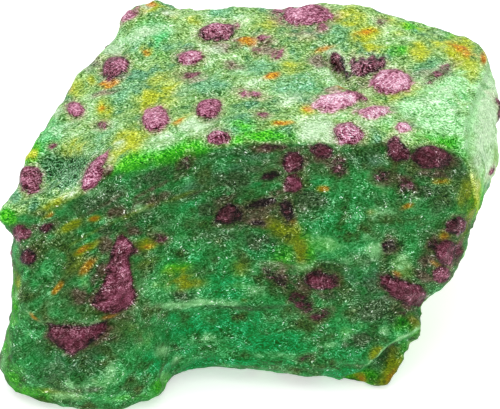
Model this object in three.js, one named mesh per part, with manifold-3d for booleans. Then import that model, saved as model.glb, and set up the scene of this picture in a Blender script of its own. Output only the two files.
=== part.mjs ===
// A raw block of ruby in fuchsite: broken green mica rock with purple-red ruby crystals grown in it.
// Millimetres, +Z up. The broad front face looks along -Y, and the block lies on its flat underside.
// The origin is under the middle of the block, on the surface that it rests on.
import * as THREE from "three";
import { ConvexGeometry } from "three/addons/geometries/ConvexGeometry.js";
import { ImprovedNoise } from "three/addons/math/ImprovedNoise.js";
import { mergeVertices } from "three/addons/utils/BufferGeometryUtils.js";
import Module from "manifold-3d";

// Driving dimensions
const LONGEST_EDGE = 3.8; // of a facet
const JITTER = 0.9; // keeps the facets irregular
const FLIP_PASSES = 6;
const FLIP_GAIN = 0.92; // an edge is only turned across where that makes it this short
const EASING_ROUNDS = 2; // wear the broken edges round
const EASING_SHARE = 0.5;
const WORN_OFF = 0.4; // easing draws the surface in by about this much, and it is put back
const SOLE_DEPTH = 1.2; // the lowest corners lie this far under the plane that trims the underside flat
const TOP_CENTRE = [2, 5, 43];
const CROWN_SHARE = 0.45; // how far the ring inside the top edge stands towards the middle
const DOME = { rise: 0.9, reach: 9 }; // of the top over its edge

// Corners of the block, [x, y, z], in upright columns that run round it counter-clockwise seen from
// above. Each column climbs from the underside over toe, shin, waist and shoulder to the top edge.
const COLUMNS = [
  // left corner
  [[-35, -17.8, 0], [-39.7, -21.6, 3.9], [-37.2, -21.6, 11],
    [-36, -19.6, 18], [-36.4, -16.6, 24], [-39.6, -14.2, 28]],
  // the foot, which juts forward at the left
  [[-33, -22.3, 0], [-36, -25, 1.6], [-34.5, -24.8, 10],
    [-34, -22.8, 18], [-34, -18.8, 25], [-34.2, -14.4, 29.6]],
  [[-27, -25.3, 0], [-28.2, -28.3, 1.6], [-28, -27.4, 10],
    [-27.8, -24.8, 18], [-27.2, -20.8, 26], [-26.8, -15.8, 33]],
  [[-21, -25.3, 0], [-21, -28.7, 1.3], [-21, -27.4, 10],
    [-21.3, -24.8, 19], [-21.5, -20.8, 29], [-21.8, -14.8, 38]],
  [[-16.5, -22.8, 0], [-14.8, -26.8, 1.3], [-15.2, -25.1, 10.5],
    [-15, -22.8, 20], [-15, -19.3, 30], [-15, -14.8, 39.3]],
  // the front, over a shallow arch
  [[-14, -18.3, 0], [-12.3, -20.8, 1.6], [-11.3, -21.8, 11],
    [-10.5, -20.8, 20.5], [-10.3, -17.6, 30.5], [-10.6, -12.8, 40.2]],
  [[-6, -14.8, 0], [-5, -20.8, 3.4], [-4.5, -20.6, 11.5],
    [-3.5, -19.6, 21], [-3, -17.3, 31], [-2.5, -13.2, 41.5]],
  [[3, -14.3, 0], [3, -21.6, 3.8], [3.5, -21.1, 11.5],
    [4, -19.8, 21], [4.5, -17.6, 31], [5, -13.7, 41.7]],
  [[11.5, -16.3, 0], [12, -22.5, 2.8], [12, -21.8, 11],
    [12, -20.3, 20.5], [12, -17.8, 30.5], [13, -13.5, 41.7]],
  [[17.5, -18.8, 0], [18.5, -22.6, 1.5], [19, -20.8, 11],
    [19, -18.8, 20], [19.5, -16.8, 30.5], [20, -13.1, 41.9]],
  // the right end of the front, cut back under the overhang
  [[21.3, -20, 0], [23.6, -22.4, 0.7], [27.6, -18.8, 8.3],
    [28, -17.3, 18], [28, -15.3, 30], [26, -13.3, 40.4]],
  [[21, -16.8, 0], [23, -18.8, 1.5], [26.1, -15.8, 10.2],
    [33, -15.4, 17.4], [36.4, -12.2, 30], [34.2, -12, 36.6]],
  // right end
  [[21.5, -8.8, 0], [24, -9.8, 2], [29, -7.8, 10],
    [35.6, -5.8, 20], [39.4, -0.8, 30.5], [35.4, -4.4, 41]],
  [[24, 4.2, 0], [27, 5.2, 2], [32, 6.2, 10],
    [37, 7.2, 20], [39.9, 7.2, 33.6], [38, 6.2, 39.8]],
  [[26, 14.2, 0], [29, 16.2, 2], [33, 18.2, 10],
    [36, 19.2, 20], [38.3, 18.2, 31], [37.9, 16.8, 40.2]],
  // back
  [[18.5, 20.2, 0], [20, 23.2, 2], [23, 26.7, 10],
    [25, 27.2, 21], [25.5, 25.6, 32], [25.4, 23.2, 42]],
  [[8.5, 21.7, 0], [9, 24.7, 1.5], [11, 28.2, 10],
    [12, 29.2, 21], [13, 27.4, 33], [12.8, 24.2, 42]],
  [[-6, 20.7, 0], [-6, 23.7, 1.5], [-5, 27.7, 10],
    [-4, 29.2, 21], [-3, 27.8, 31], [-2, 25, 41.4]],
  [[-12, 18.2, 0], [-13.5, 21.2, 2], [-14.5, 25.7, 10],
    [-14.5, 28.2, 20], [-13.6, 28.2, 31], [-10.4, 25.2, 41.3]],
  [[-17, 17.2, 0], [-18.5, 20.2, 2], [-20, 24.7, 10],
    [-20, 27.2, 20], [-18, 28.2, 31], [-15.2, 26.2, 42.4]],
  // left side
  [[-20.5, 13.2, 0], [-23.2, 15.7, 2], [-24.6, 19.7, 9],
    [-24.6, 22.2, 19], [-23, 24.2, 29], [-20.5, 24, 39.8]],
  [[-26, 2.2, 0], [-28.5, 4.2, 2], [-30, 7.2, 9],
    [-30, 9.7, 19], [-28.6, 12.2, 28], [-25.9, 14.4, 37.8]],
  [[-30, -4.8, 0], [-32.5, -3.3, 2], [-33.2, -1.3, 9],
    [-33.2, 1.2, 18], [-32.6, 3.2, 27], [-29.8, 5.8, 35.8]],
  [[-33.5, -12.8, 0], [-36.5, -12.8, 3], [-35.8, -12.8, 9],
    [-35.4, -11.8, 16.5], [-35.8, -9.8, 24], [-36.4, -7.6, 30.6]],
];

// Broad swells and hollows of the broken surface: middle, reach and height.
const SWELLS = [
  { at: [-30, -7.8, 32], reach: 4.5, height: -2.4 }, // hollow behind the left shoulder
  { at: [-24, -27.8, 8], reach: 9, height: 0.8 }, // belly of the foot
  { at: [-9, -20.8, 9], reach: 6, height: -0.8 }, // groove beside the foot
  { at: [8, -19.8, 20], reach: 9, height: 0.7 },
  { at: [-16, 25.2, 42], reach: 4.5, height: 0.6 }, // knob on the back left corner
  { at: [14, 3.2, 43], reach: 8, height: -0.7 },
  { at: [28, 3.2, 42], reach: 8, height: 0.5 },
  { at: [27.6, -16.6, 12.2], reach: 2.5, height: -2.2 }, // bite under the overhang at the right
];

// Ledges: a lip that stands proud along a line, with the rock broken away under it.
const LIP_AT = -0.5; // of the lip and the break across the line, in widths
const BREAK_AT = 0.7;
const LEDGE_THICKNESS = 3; // how far into the rock a ledge is felt, in widths
const LEDGES = [
  { from: [26.1, -18.8, 8.4], to: [14, -22.8, 3.2], lip: 0.5, drop: 1.3, width: 2.2 }, // lower right corner
  { from: [-33, -24.8, 14], to: [-21.5, -26.8, 14.5], lip: 0.4, drop: 0.8, width: 2.2 }, // over the foot
  { from: [-14, -22.8, 15.5], to: [8, -21.4, 13], lip: 0.35, drop: 0.6, width: 2.4 }, // across the front
  { from: [-26, 13.2, 38], to: [-18, 12.2, 40], lip: 0.4, drop: 0.7, width: 2.2 }, // on the top, at the left
];

// Sharp ridges along the grain, and lumps: their lengths and heights.
const RIDGE = { along: 17, across: 6.5, height: 1.4, seed: 4 };
const RIDGE_SINK = 0.25; // the mean of a ridge's share of its height
const LUMP = { along: 8, across: 6.5, height: 0.6, seed: 9 };
const GRAIN = new THREE.Euler(0.35, 0.22, 0.3); // how the grain lies in the block

// Directions in which crystals look out of the rock, and the level direction across them.
const SIDES = {
  front: { out: [0, -1, 0], level: [1, 0, 0] },
  top: { out: [0, 0, 1], level: [1, 0, 0] },
  right: { out: [1, 0, 0], level: [0, 1, 0] },
  back: { out: [0, 1, 0], level: [-1, 0, 0] },
  left: { out: [-1, 0, 0], level: [0, -1, 0] },
};
const CRYSTALS = [
  { side: "top", at: [-19.5, 22.5], size: [4.5, 3], turn: 10 },
  { side: "top", at: [-21.5, 11.5], size: [5, 6], turn: -30 },
  { side: "top", at: [-9.5, 10.5], size: [4.5, 4], sides: 5, proud: 0.7 },
  { side: "top", at: [-5, 17], size: [6.5, 6], turn: 15 },
  { side: "top", at: [9, 20.5], size: [9, 4.5], sides: 7 },
  { side: "top", at: [-27.5, 2.5], size: [4, 4.5] },
  { side: "top", at: [-34, -8], size: [4, 5.5] },
  { side: "top", at: [-24.5, -13.5], size: [3, 8], turn: -20, sides: 4 },
  { side: "top", at: [-14.5, -5], size: [5, 6.5] },
  { side: "top", at: [-6.5, -4], size: [4.5, 6] },
  { side: "top", at: [-5, -12], size: [3.5, 4.5], sides: 5, proud: 0.7 },
  { side: "top", at: [0, -1], size: [4.5, 3.5] },
  { side: "top", at: [18.5, 6.5], size: [5, 5], turn: 20 },
  { side: "top", at: [22, 2], size: [6.5, 6.5], proud: 0.7 },
  { side: "top", at: [29.5, 4.5], size: [5.5, 2.2], turn: 25, sides: 4 },
  { side: "top", at: [13, -2.5], size: [8, 6.5], turn: 10, proud: 0.7 },
  { side: "top", at: [19, -6], size: [6, 4] },
  { side: "top", at: [23.5, -9.5], size: [2.5, 3] },
  { side: "top", at: [15, -12], size: [5.5, 4.5], proud: 0.7 },
  { side: "front", at: [22, 38.5], size: [4.5, 4.5], sides: 5 },
  { side: "front", at: [27.5, 37.5], size: [6.5, 4.5] },
  { side: "front", at: [11, 39.5], size: [3.5, 2.5] },
  { side: "front", at: [6.5, 38.5], size: [3.5, 3] },
  { side: "front", at: [6.5, 35], size: [2.5, 3] },
  { side: "front", at: [23.5, 34.5], size: [3, 2.5] },
  { side: "front", at: [-3.5, 31], size: [5, 4], proud: 0.7 },
  { side: "front", at: [2.5, 32.5], size: [6.5, 2], sides: 5 },
  { side: "front", at: [-34.5, 26.5], size: [3.5, 2.5] },
  { side: "front", at: [-19.5, 27], size: [4, 7], sides: 5 },
  { side: "front", at: [-21, 21], size: [6.5, 6], sides: 5, proud: 0.7 },
  { side: "front", at: [-27, 15], size: [10, 6.5], turn: -30, sides: 3, proud: 0.4 },
  { side: "front", at: [11, 20.5], size: [6, 4] },
  { side: "front", at: [7.5, 17], size: [3.5, 3], turn: -35 },
  { side: "front", at: [23.5, 17], size: [7, 5], turn: -20 },
  { side: "front", at: [21, 24], size: [2.5, 4] },
  { side: "front", at: [31.5, 26.5], size: [4, 3] },
  { side: "front", at: [30, 22.5], size: [4.5, 4], turn: 20, proud: 0.6 },
  { side: "right", at: [3.5, 35], size: [3.5, 6] },
  { side: "right", at: [11, 22], size: [5, 6.5], turn: 15, proud: 0.6 },
  { side: "right", at: [0, 23], size: [3.5, 3] },
  { side: "right", at: [10, 11], size: [6, 4], turn: -10 },
  { side: "back", at: [-21, 31], size: [7, 5], turn: 20, proud: 0.7 },
  { side: "back", at: [-12, 17], size: [5, 6.5] },
  { side: "back", at: [-3, 33], size: [8, 4.5], turn: -10 },
  { side: "back", at: [1, 20], size: [4.5, 4], proud: 0.7 },
  { side: "back", at: [11, 27], size: [6, 7], turn: 30 },
  { side: "back", at: [-17, 8], size: [6, 4] },
  { side: "back", at: [7, 10], size: [7, 4.5], turn: -20 },
  { side: "back", at: [17, 17], size: [4, 5.5] },
  { side: "left", at: [13, 20], size: [5, 6] },
  { side: "left", at: [2, 12], size: [6.5, 4.5], turn: 15, proud: 0.7 },
  { side: "left", at: [-4, 27], size: [5.5, 6.5], turn: -20 },
  { side: "left", at: [-15, 18], size: [6, 5], turn: 10 },
];
const CRYSTAL = {
  sides: 6,
  proud: 0.5, // of the rock
  uneven: 0.9, // share by which its corners differ in height
  swing: 0.6, // share of a step by which its corners stand off an even ring
  sunk: 1.2, // how deep its hidden part goes
  taper: 0.72, // its flat outer face against its outline in the rock
  footing: 0.4, // how far out its tilt is taken from the rock, as a share of its width
};
const FAR = 100; // well outside the block

// Gashes and pits: wedges cut into the rock, [x, y, z] of both ends, with width and depth.
const GASHES = [
  { from: [12.8, 11, 41.8], to: [15, 3.6, 41.6], width: 2.4, depth: 2.2, out: [0, 0, 1] },
  { from: [1.8, -16.3, 36.4], to: [4.6, -16, 36.8], width: 1.6, depth: 1.2, out: [0, -1, 0.3] },
];
const GASH_DEEPEST = 0.55; // how far along a gash its floor lies deepest
const MERGE_WITHIN = 1e-3; // corners closer than this are one

const noise = new ImprovedNoise();

// A repeatable number from 0 to 1 for a whole number, scattered by its large factors.
function chance(i) {
  const s = Math.sin(i * 127.1 + 311.7) * 43758.5453;
  return s - Math.floor(s);
}

const vector = (at) => new THREE.Vector3(...at);
const bell = (x) => Math.exp(-x * x);

function splitFace([a, b, c], [ab, bc, ca]) {
  const cuts = [ab, bc, ca].filter((m) => m >= 0).length;
  if (cuts === 0) return [[a, b, c]];
  if (cuts === 3) return [[a, ab, ca], [ab, b, bc], [ca, bc, c], [ab, bc, ca]];
  if (cuts === 1 && ab < 0) return splitFace([b, c, a], [bc, ca, ab]);
  if (cuts === 1) return [[a, ab, c], [ab, b, c]];
  if (ca >= 0) return splitFace([b, c, a], [bc, ca, ab]);
  return [[ab, b, bc], [a, ab, bc], [a, bc, c]];
}

// Splits every edge longer than LONGEST_EDGE in its middle until none is left. Between the top edge
// and a point inside it, the middle is inside it too.
function refine(points, faces, inside) {
  for (;;) {
    const middles = new Map();
    const middleOf = (a, b) => {
      if (points[a].distanceTo(points[b]) <= LONGEST_EDGE) return -1;
      const key = a < b ? `${a} ${b}` : `${b} ${a}`;
      if (!middles.has(key)) {
        const middle = points.push(points[a].clone().lerp(points[b], 0.5)) - 1;
        if (inside.has(a) || inside.has(b)) inside.add(middle);
        middles.set(key, middle);
      }
      return middles.get(key);
    };
    faces = faces.flatMap(([a, b, c]) =>
      splitFace([a, b, c], [middleOf(a, b), middleOf(b, c), middleOf(c, a)]),
    );
    if (!middles.size) return faces;
  }
}

// Turns the edge between two facets across wherever that makes it clearly shorter.
function flipLongEdges(points, faces) {
  for (let pass = 0; pass < FLIP_PASSES; pass++) {
    const owners = new Map();
    faces.forEach((face, i) => face.forEach((a, k) => owners.set(`${a} ${face[(k + 1) % 3]}`, i)));
    const turned = new Set();
    for (let i = 0; i < faces.length; i++) {
      for (let k = 0; k < 3 && !turned.has(i); k++) {
        const [a, b, c] = [0, 1, 2].map((step) => faces[i][(k + step) % 3]);
        const j = owners.get(`${b} ${a}`);
        if (turned.has(j)) continue;
        const d = faces[j].find((corner) => corner !== a && corner !== b);
        const shorter = points[c].distanceTo(points[d]) < FLIP_GAIN * points[a].distanceTo(points[b]);
        if (!shorter || owners.has(`${c} ${d}`) || owners.has(`${d} ${c}`)) continue;
        faces[i] = [c, a, d];
        faces[j] = [c, d, b];
        owners.set(`${c} ${d}`, j).set(`${d} ${c}`, i);
        turned.add(i).add(j);
      }
    }
  }
}

function neighboursOf(points, faces) {
  const near = points.map(() => new Set());
  for (const [a, b, c] of faces) {
    near[a].add(b).add(c);
    near[b].add(c).add(a);
    near[c].add(a).add(b);
  }
  return near;
}

// Each point moves a share of the way to the middle of its neighbours, round after round.
function ease(points, neighbours) {
  for (let round = 0; round < EASING_ROUNDS; round++) {
    const middles = neighbours.map((near) => {
      const sum = new THREE.Vector3();
      near.forEach((i) => sum.add(points[i]));
      return sum.divideScalar(near.size);
    });
    points.forEach((p, i) => p.lerp(middles[i], EASING_SHARE));
  }
}

// Height of the top at p, carried in smoothly from the corners of its edge (mean value coordinates).
function topHeight(p) {
  const spokes = COLUMNS.map((column) => {
    const [x, y, z] = column.at(-1);
    return { x: x - p.x, y: y - p.y, z, length: Math.hypot(x - p.x, y - p.y) };
  });
  const halfTangents = spokes.map((s, i) => {
    const t = spokes[(i + 1) % spokes.length];
    return (s.length * t.length - s.x * t.x - s.y * t.y) / (s.x * t.y - s.y * t.x);
  });
  const weights = spokes.map((s, i) => (halfTangents.at(i - 1) + halfTangents[i]) / s.length);
  const total = weights.reduce((sum, w) => sum + w);
  const height = spokes.reduce((sum, s, i) => sum + (s.z * weights[i]) / total, 0);
  const nearest = Math.min(...spokes.map((s) => s.length));
  return height + DOME.rise * (1 - bell(nearest / DOME.reach));
}

function normalsOf(points, faces) {
  const normals = points.map(() => new THREE.Vector3());
  for (const [a, b, c] of faces) {
    const ab = points[b].clone().sub(points[a]);
    const ac = points[c].clone().sub(points[a]);
    ab.cross(ac);
    [a, b, c].forEach((i) => normals[i].add(ab));
  }
  return normals.map((n) => n.normalize());
}

// The block's corners joined up as a closed coarse mesh, with the numbers of the points on its top.
function coarseBlock() {
  const levels = COLUMNS[0].length;
  const points = COLUMNS.flatMap((column) =>
    column.map(([x, y, z], level) => new THREE.Vector3(x, y, level ? z : -SOLE_DEPTH)),
  );
  const centre = vector(TOP_CENTRE);
  const crown = COLUMNS.map((_, i) => {
    const edge = points[i * levels + levels - 1];
    return points.push(edge.clone().lerp(centre, CROWN_SHARE)) - 1;
  });
  const top = points.push(centre) - 1;
  const bottom = points.push(new THREE.Vector3(0, 0, -SOLE_DEPTH)) - 1;
  const faces = [];
  const quad = (a, b, c, d) => faces.push([a, b, c], [a, c, d]);
  COLUMNS.forEach((_, i) => {
    const here = i * levels;
    const next = ((i + 1) % COLUMNS.length) * levels;
    for (let k = 0; k < levels - 1; k++) quad(here + k, next + k, next + k + 1, here + k + 1);
    const j = (i + 1) % COLUMNS.length;
    quad(here + levels - 1, next + levels - 1, crown[j], crown[i]);
    faces.push([crown[i], crown[j], top], [next, here, bottom]);
  });
  return { points, faces, inside: new Set([...crown, top]) };
}

function ledgeHeight(p, n, { from, to, lip, drop, width }) {
  const start = vector(from);
  const run = vector(to).sub(start);
  const length = run.length();
  run.normalize();
  const offset = p.clone().sub(start);
  const past = Math.max(0, -offset.dot(run), offset.dot(run) - length);
  const under = n.clone().cross(run);
  const s = (offset.dot(under) * Math.sign(-under.z || 1)) / width;
  const deep = offset.dot(n) / width;
  const fade = bell(past / width) * bell(deep / LEDGE_THICKNESS);
  return fade * (lip * bell(s - LIP_AT) - drop * bell(s - BREAK_AT));
}

// How far the rock stands out of its eased block at p, along the surface normal n.
function relief(p, n) {
  let height = WORN_OFF;
  for (const { at, reach, height: most } of SWELLS) {
    height += most * bell(p.distanceTo(vector(at)) / reach);
  }
  for (const ledge of LEDGES) height += ledgeHeight(p, n, ledge);
  const g = p.clone().applyEuler(GRAIN);
  const wave = ({ along, across, seed }) =>
    noise.noise(g.x / along + seed, g.y / across, g.z / across);
  height += RIDGE.height * (RIDGE_SINK - Math.abs(wave(RIDGE)));
  return height + LUMP.height * wave(LUMP);
}

function geometryOf(points, faces) {
  const geometry = new THREE.BufferGeometry();
  const places = points.flatMap((p) => p.toArray());
  geometry.setAttribute("position", new THREE.Float32BufferAttribute(places, 3));
  geometry.setIndex(faces.flat());
  return geometry;
}

// The rock before crystals and gashes.
function rock() {
  const { points, faces: coarse, inside } = coarseBlock();
  const corners = points.length;
  const faces = refine(points, coarse, inside);
  points.forEach((p, i) => {
    if (i < corners) return;
    const shift = [0, 1, 2].map((axis) => JITTER * (chance(3 * i + axis) - 0.5));
    p.add(vector(shift));
  });
  for (const i of inside) points[i].z = topHeight(points[i]);
  flipLongEdges(points, faces);
  ease(points, neighboursOf(points, faces));
  const normals = normalsOf(points, faces);
  const heights = points.map((p, i) => relief(p, normals[i]));
  points.forEach((p, i) => p.addScaledVector(normals[i], heights[i]));
  return geometryOf(points, faces);
}

const wasm = await Module();
wasm.setup();

function solidOf(geometry) {
  const bare = geometry.clone();
  bare.deleteAttribute("normal");
  bare.deleteAttribute("uv");
  const merged = mergeVertices(bare, MERGE_WITHIN);
  return new wasm.Manifold(
    new wasm.Mesh({
      numProp: 3,
      vertProperties: merged.getAttribute("position").array,
      triVerts: new Uint32Array(merged.index.array),
    }),
  );
}

function geometryFrom(solid) {
  const mesh = solid.getMesh();
  const geometry = new THREE.BufferGeometry();
  geometry.setAttribute("position", new THREE.BufferAttribute(mesh.vertProperties, 3));
  geometry.setIndex(new THREE.BufferAttribute(mesh.triVerts, 1));
  return geometry;
}

// Where the surface is met from outside at `place`, looking in from a side, or null past its edge.
function meet(surface, out, place) {
  const caster = new THREE.Raycaster(place.clone().addScaledVector(out, FAR), out.clone().negate());
  const hit = caster.intersectObject(surface)[0];
  return hit ? hit.point : null;
}

// A crystal with a flat outer face, seated square to the rock around it.
function crystal(surface, { side, at, size, turn = 0, sides, proud }, number) {
  const out = vector(SIDES[side].out);
  const level = vector(SIDES[side].level);
  const steep = out.clone().cross(level);
  const place = level.clone().multiplyScalar(at[0]).addScaledVector(steep, at[1]);
  const reach = CRYSTAL.footing * Math.min(...size);
  const around = [0, 1, 2].map((k) => {
    const angle = (2 * Math.PI * k) / 3;
    const step = place.clone().addScaledVector(level, reach * Math.cos(angle));
    return meet(surface, out, step.addScaledVector(steep, reach * Math.sin(angle)));
  });
  const middle = meet(surface, out, place);
  if (!middle || around.includes(null)) throw new Error(`crystal ${number} misses the rock`);
  const normal = around[1].clone().sub(around[0]).cross(around[2].clone().sub(around[0])).normalize();
  const u = level.clone().addScaledVector(normal, -level.dot(normal)).normalize();
  const v = normal.clone().cross(u);
  const lean = (turn * Math.PI) / 180;
  const corners = [];
  for (let k = 0; k < sides; k++) {
    const angle = (2 * Math.PI * (k + CRYSTAL.swing * chance(number * 31 + k))) / sides;
    const a = (Math.cos(angle) * size[0]) / 2;
    const b = (Math.sin(angle) * size[1]) / 2;
    const corner = u.clone().multiplyScalar(a * Math.cos(lean) - b * Math.sin(lean));
    corner.addScaledVector(v, a * Math.sin(lean) + b * Math.cos(lean));
    const high = proud * (1 + CRYSTAL.uneven * (chance(number * 17 + k) - 0.5));
    corners.push(middle.clone().add(corner).addScaledVector(normal, -CRYSTAL.sunk));
    corners.push(middle.clone().addScaledVector(corner, CRYSTAL.taper).addScaledVector(normal, high));
  }
  return solidOf(new ConvexGeometry(corners));
}

function gash({ from, to, width, depth, out }) {
  const start = vector(from);
  const end = vector(to);
  const up = vector(out).normalize();
  const across = end.clone().sub(start).cross(up).setLength(width / 2);
  const corners = [start, end].flatMap((p) => [1, -1].map((s) => p.clone().addScaledVector(across, s)));
  const floor = start.clone().lerp(end, GASH_DEEPEST).addScaledVector(up, -depth);
  const lid = corners.map((p) => p.clone().addScaledVector(up, depth));
  return solidOf(new ConvexGeometry([...corners, ...lid, floor]));
}

function stone() {
  const geometry = rock();
  const surface = new THREE.Mesh(geometry);
  const under = new THREE.BoxGeometry(2 * FAR, 2 * FAR, FAR).translate(0, 0, -FAR / 2);
  let solid = solidOf(geometry).subtract(solidOf(under));
  CRYSTALS.forEach((given, number) => {
    solid = solid.add(crystal(surface, { ...CRYSTAL, ...given }, number));
  });
  for (const given of GASHES) solid = solid.subtract(gash(given));
  const made = geometryFrom(solid);
  made.computeBoundingBox();
  const { min, max } = made.boundingBox;
  return made.translate(-(min.x + max.x) / 2, -(min.y + max.y) / 2, 0);
}

const group = new THREE.Group();
const mesh = new THREE.Mesh(
  stone(),
  new THREE.MeshStandardMaterial({ color: 0x3f8a4f, roughness: 0.55, metalness: 0 }),
);
mesh.name = "stone";
group.add(mesh);
export default group;
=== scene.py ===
import math
import bpy
import numpy as np
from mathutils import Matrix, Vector, noise


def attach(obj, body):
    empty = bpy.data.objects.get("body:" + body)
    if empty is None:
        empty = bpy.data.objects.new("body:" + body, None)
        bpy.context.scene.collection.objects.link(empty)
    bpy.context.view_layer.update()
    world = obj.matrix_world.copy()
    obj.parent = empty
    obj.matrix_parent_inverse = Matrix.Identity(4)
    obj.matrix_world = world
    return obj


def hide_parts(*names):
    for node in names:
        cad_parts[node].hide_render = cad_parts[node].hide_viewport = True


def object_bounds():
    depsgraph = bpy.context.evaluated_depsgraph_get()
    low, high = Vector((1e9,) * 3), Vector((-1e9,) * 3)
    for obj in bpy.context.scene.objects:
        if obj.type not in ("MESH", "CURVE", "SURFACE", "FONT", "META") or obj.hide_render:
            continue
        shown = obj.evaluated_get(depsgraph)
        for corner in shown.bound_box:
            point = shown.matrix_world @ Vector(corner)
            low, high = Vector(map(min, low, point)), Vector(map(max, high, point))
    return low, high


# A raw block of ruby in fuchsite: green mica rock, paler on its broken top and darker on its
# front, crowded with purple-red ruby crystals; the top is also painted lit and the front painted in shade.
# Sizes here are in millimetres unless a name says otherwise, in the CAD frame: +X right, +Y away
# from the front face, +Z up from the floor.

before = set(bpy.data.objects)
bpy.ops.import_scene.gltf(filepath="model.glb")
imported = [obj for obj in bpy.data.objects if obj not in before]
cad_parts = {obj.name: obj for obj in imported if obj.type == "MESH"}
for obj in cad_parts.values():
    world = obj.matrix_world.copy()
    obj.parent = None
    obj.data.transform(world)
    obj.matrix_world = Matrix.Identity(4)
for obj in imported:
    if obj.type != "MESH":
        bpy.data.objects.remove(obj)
cad_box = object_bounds()
METRE = 1000.0  # mm

# ---------------------------------------------------------------- camera and the photograph's frame
PHOTO_WIDTH, PHOTO_HEIGHT = 500, 409  # pixels
ELEVATION = math.radians(36.0)
DISTANCE = 450.0
AIM = np.array([-0.1, 0.45, 19.0])  # what the middle of the photograph shows
LENS, SENSOR = 202.5, 36.0
FOCAL_PIXELS = LENS / SENSOR * PHOTO_WIDTH
MM_PER_PIXEL = DISTANCE / FOCAL_PIXELS
NEAR, FAR = 0.05, 20.0  # metres from the camera, between which it sees

FORWARD = np.array([0.0, math.cos(ELEVATION), -math.sin(ELEVATION)])
RIGHT = np.array([1.0, 0.0, 0.0])
UP = np.array([0.0, math.sin(ELEVATION), math.cos(ELEVATION)])
EYE = AIM - DISTANCE * FORWARD

# ---------------------------------------------------------------- floor and light, in metres
FLOOR_SIZE, FLOOR_DROP = 6.0, 0.0001  # the drop keeps it clear of the stone's flat underside
FLOOR_COLOUR, FLOOR_ROUGHNESS, FLOOR_GLOW = (242, 242, 242), 0.9, 0.5
WHITE = (1.0, 1.0, 1.0, 1.0)
KEY_PLACE, KEY_TARGET = Vector((-0.02, 0.02, 0.55)), Vector((0.0, 0.0, 0.02))
KEY_SIZE, KEY_WATTS = 0.6, 1.75
SURROUNDINGS = 0.75  # how bright

# ---------------------------------------------------------------- surface
VOXEL = 0.46
SOFTEN_ROUNDS = 6  # take the corners off the CAD facets
BROAD_ROUNDS = 8  # average the small forms out of the normals
SETTLE_ROUNDS = 1  # after the relief is added
GRAIN_ARCH = 0.0165  # on the front the grain bends over like an arch: its slope changes by this each mm
GRAIN_CREST = 5.0  # x of the arch's level place
TOP_GRAIN = math.radians(32.0)  # how the grain runs across the top, from +X towards +Y
DRAWN_OUT, FINE_DRAWN_OUT = 0.7, 0.4  # across the grain a feature is this much of its length along it
STRAND_TURN = math.radians(-8.0)  # how the finest strands run across the top

# How far a surface's normal points up, right, down or to the camera, where something on it sets in,
# and where it is complete.
FACES_UP, FACES_RIGHT = (0.5, 0.78), (0.6, 0.85)
FACES_DOWN = (-0.6, -0.9)  # where the relief only goes inward, so that the stone still stands flat
LIT_AND_PALE_UP, LIT_AND_PALE_RIGHT = (0.35, 0.7), (0.5, 0.8)  # paler rock in painted light, where the camera doesn't see it
SEEN = (-0.05, 0.1)  # where marks listed in pixels take over from scattered ones
RUBIES_SEEN = 0.02  # listed rubies start sharply

# Small relief: how high it stands, and how long its forms are along the grain, across and into it.
LAYER_HEIGHT, LAYER_SIZE = 0.26, np.array([9.0, 3.0, 2.6])
LUMP_HEIGHT, LUMP_SIZE = 0.22, np.array([5.0, 5.0, 4.0])
CRUMB_HEIGHT, CRUMB_SIZE = 0.17, np.array([1.7, 1.7, 1.3])
SCALE_HEIGHT, SCALE_SIZE = 0.16, np.array([3.4, 2.6, 1.9])
CHIP_HEIGHT, CHIP_SIZE = 0.1, np.array([1.5, 1.5, 1.3])
RUBY_HEIGHT, RUBY_RISE = (0.14, 0.34), (-0.1, 0.7)  # on the front and on the top, and over what depth
FACET_HEIGHT, FACET_RISE = (0.07, 0.2), (0.0, 0.6)  # the same for a ruby's own facets
FACET_SIZE = np.array([2.2, 2.2, 2.2])
FALL, LACUNARITY = 0.9, 2.0  # of the octaves of noise in lumps and crumbs
FLAKE_STEP, FLAKE_TILT = 0.9, 1.4  # from one scale or chip to the next, and across one
MOAT_DEPTH, MOAT_PLACE, MOAT_WIDTH = 0.16, 0.15, 0.35  # a groove round each ruby, just outside it

# Where the paler, painted-lit top gives way to the darker front in painted shade, in pixels of the
# photograph, from left to right.
RIDGE = [
    (-20, 222), (5, 222), (22, 214), (45, 208), (66, 199), (85, 194), (92, 186), (106, 170), (120, 168),
    (150, 161), (165, 156), (180, 152), (210, 148), (240, 144), (290, 142), (320, 142), (360, 144),
    (385, 143), (396, 137), (410, 148), (430, 145), (450, 148), (462, 158), (470, 172), (476, 200),
    (479, 230), (482, 260), (520, 290),
]
RIDGE_BLUR = 2.5  # pixels
# And where the top gives way to the right face, from above down, as far as the camera sees it.
CORNER = [(499, 40), (491, 62), (487, 75), (477, 98), (467, 122), (467, 146), (476, 172), (482, 205)]

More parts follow.
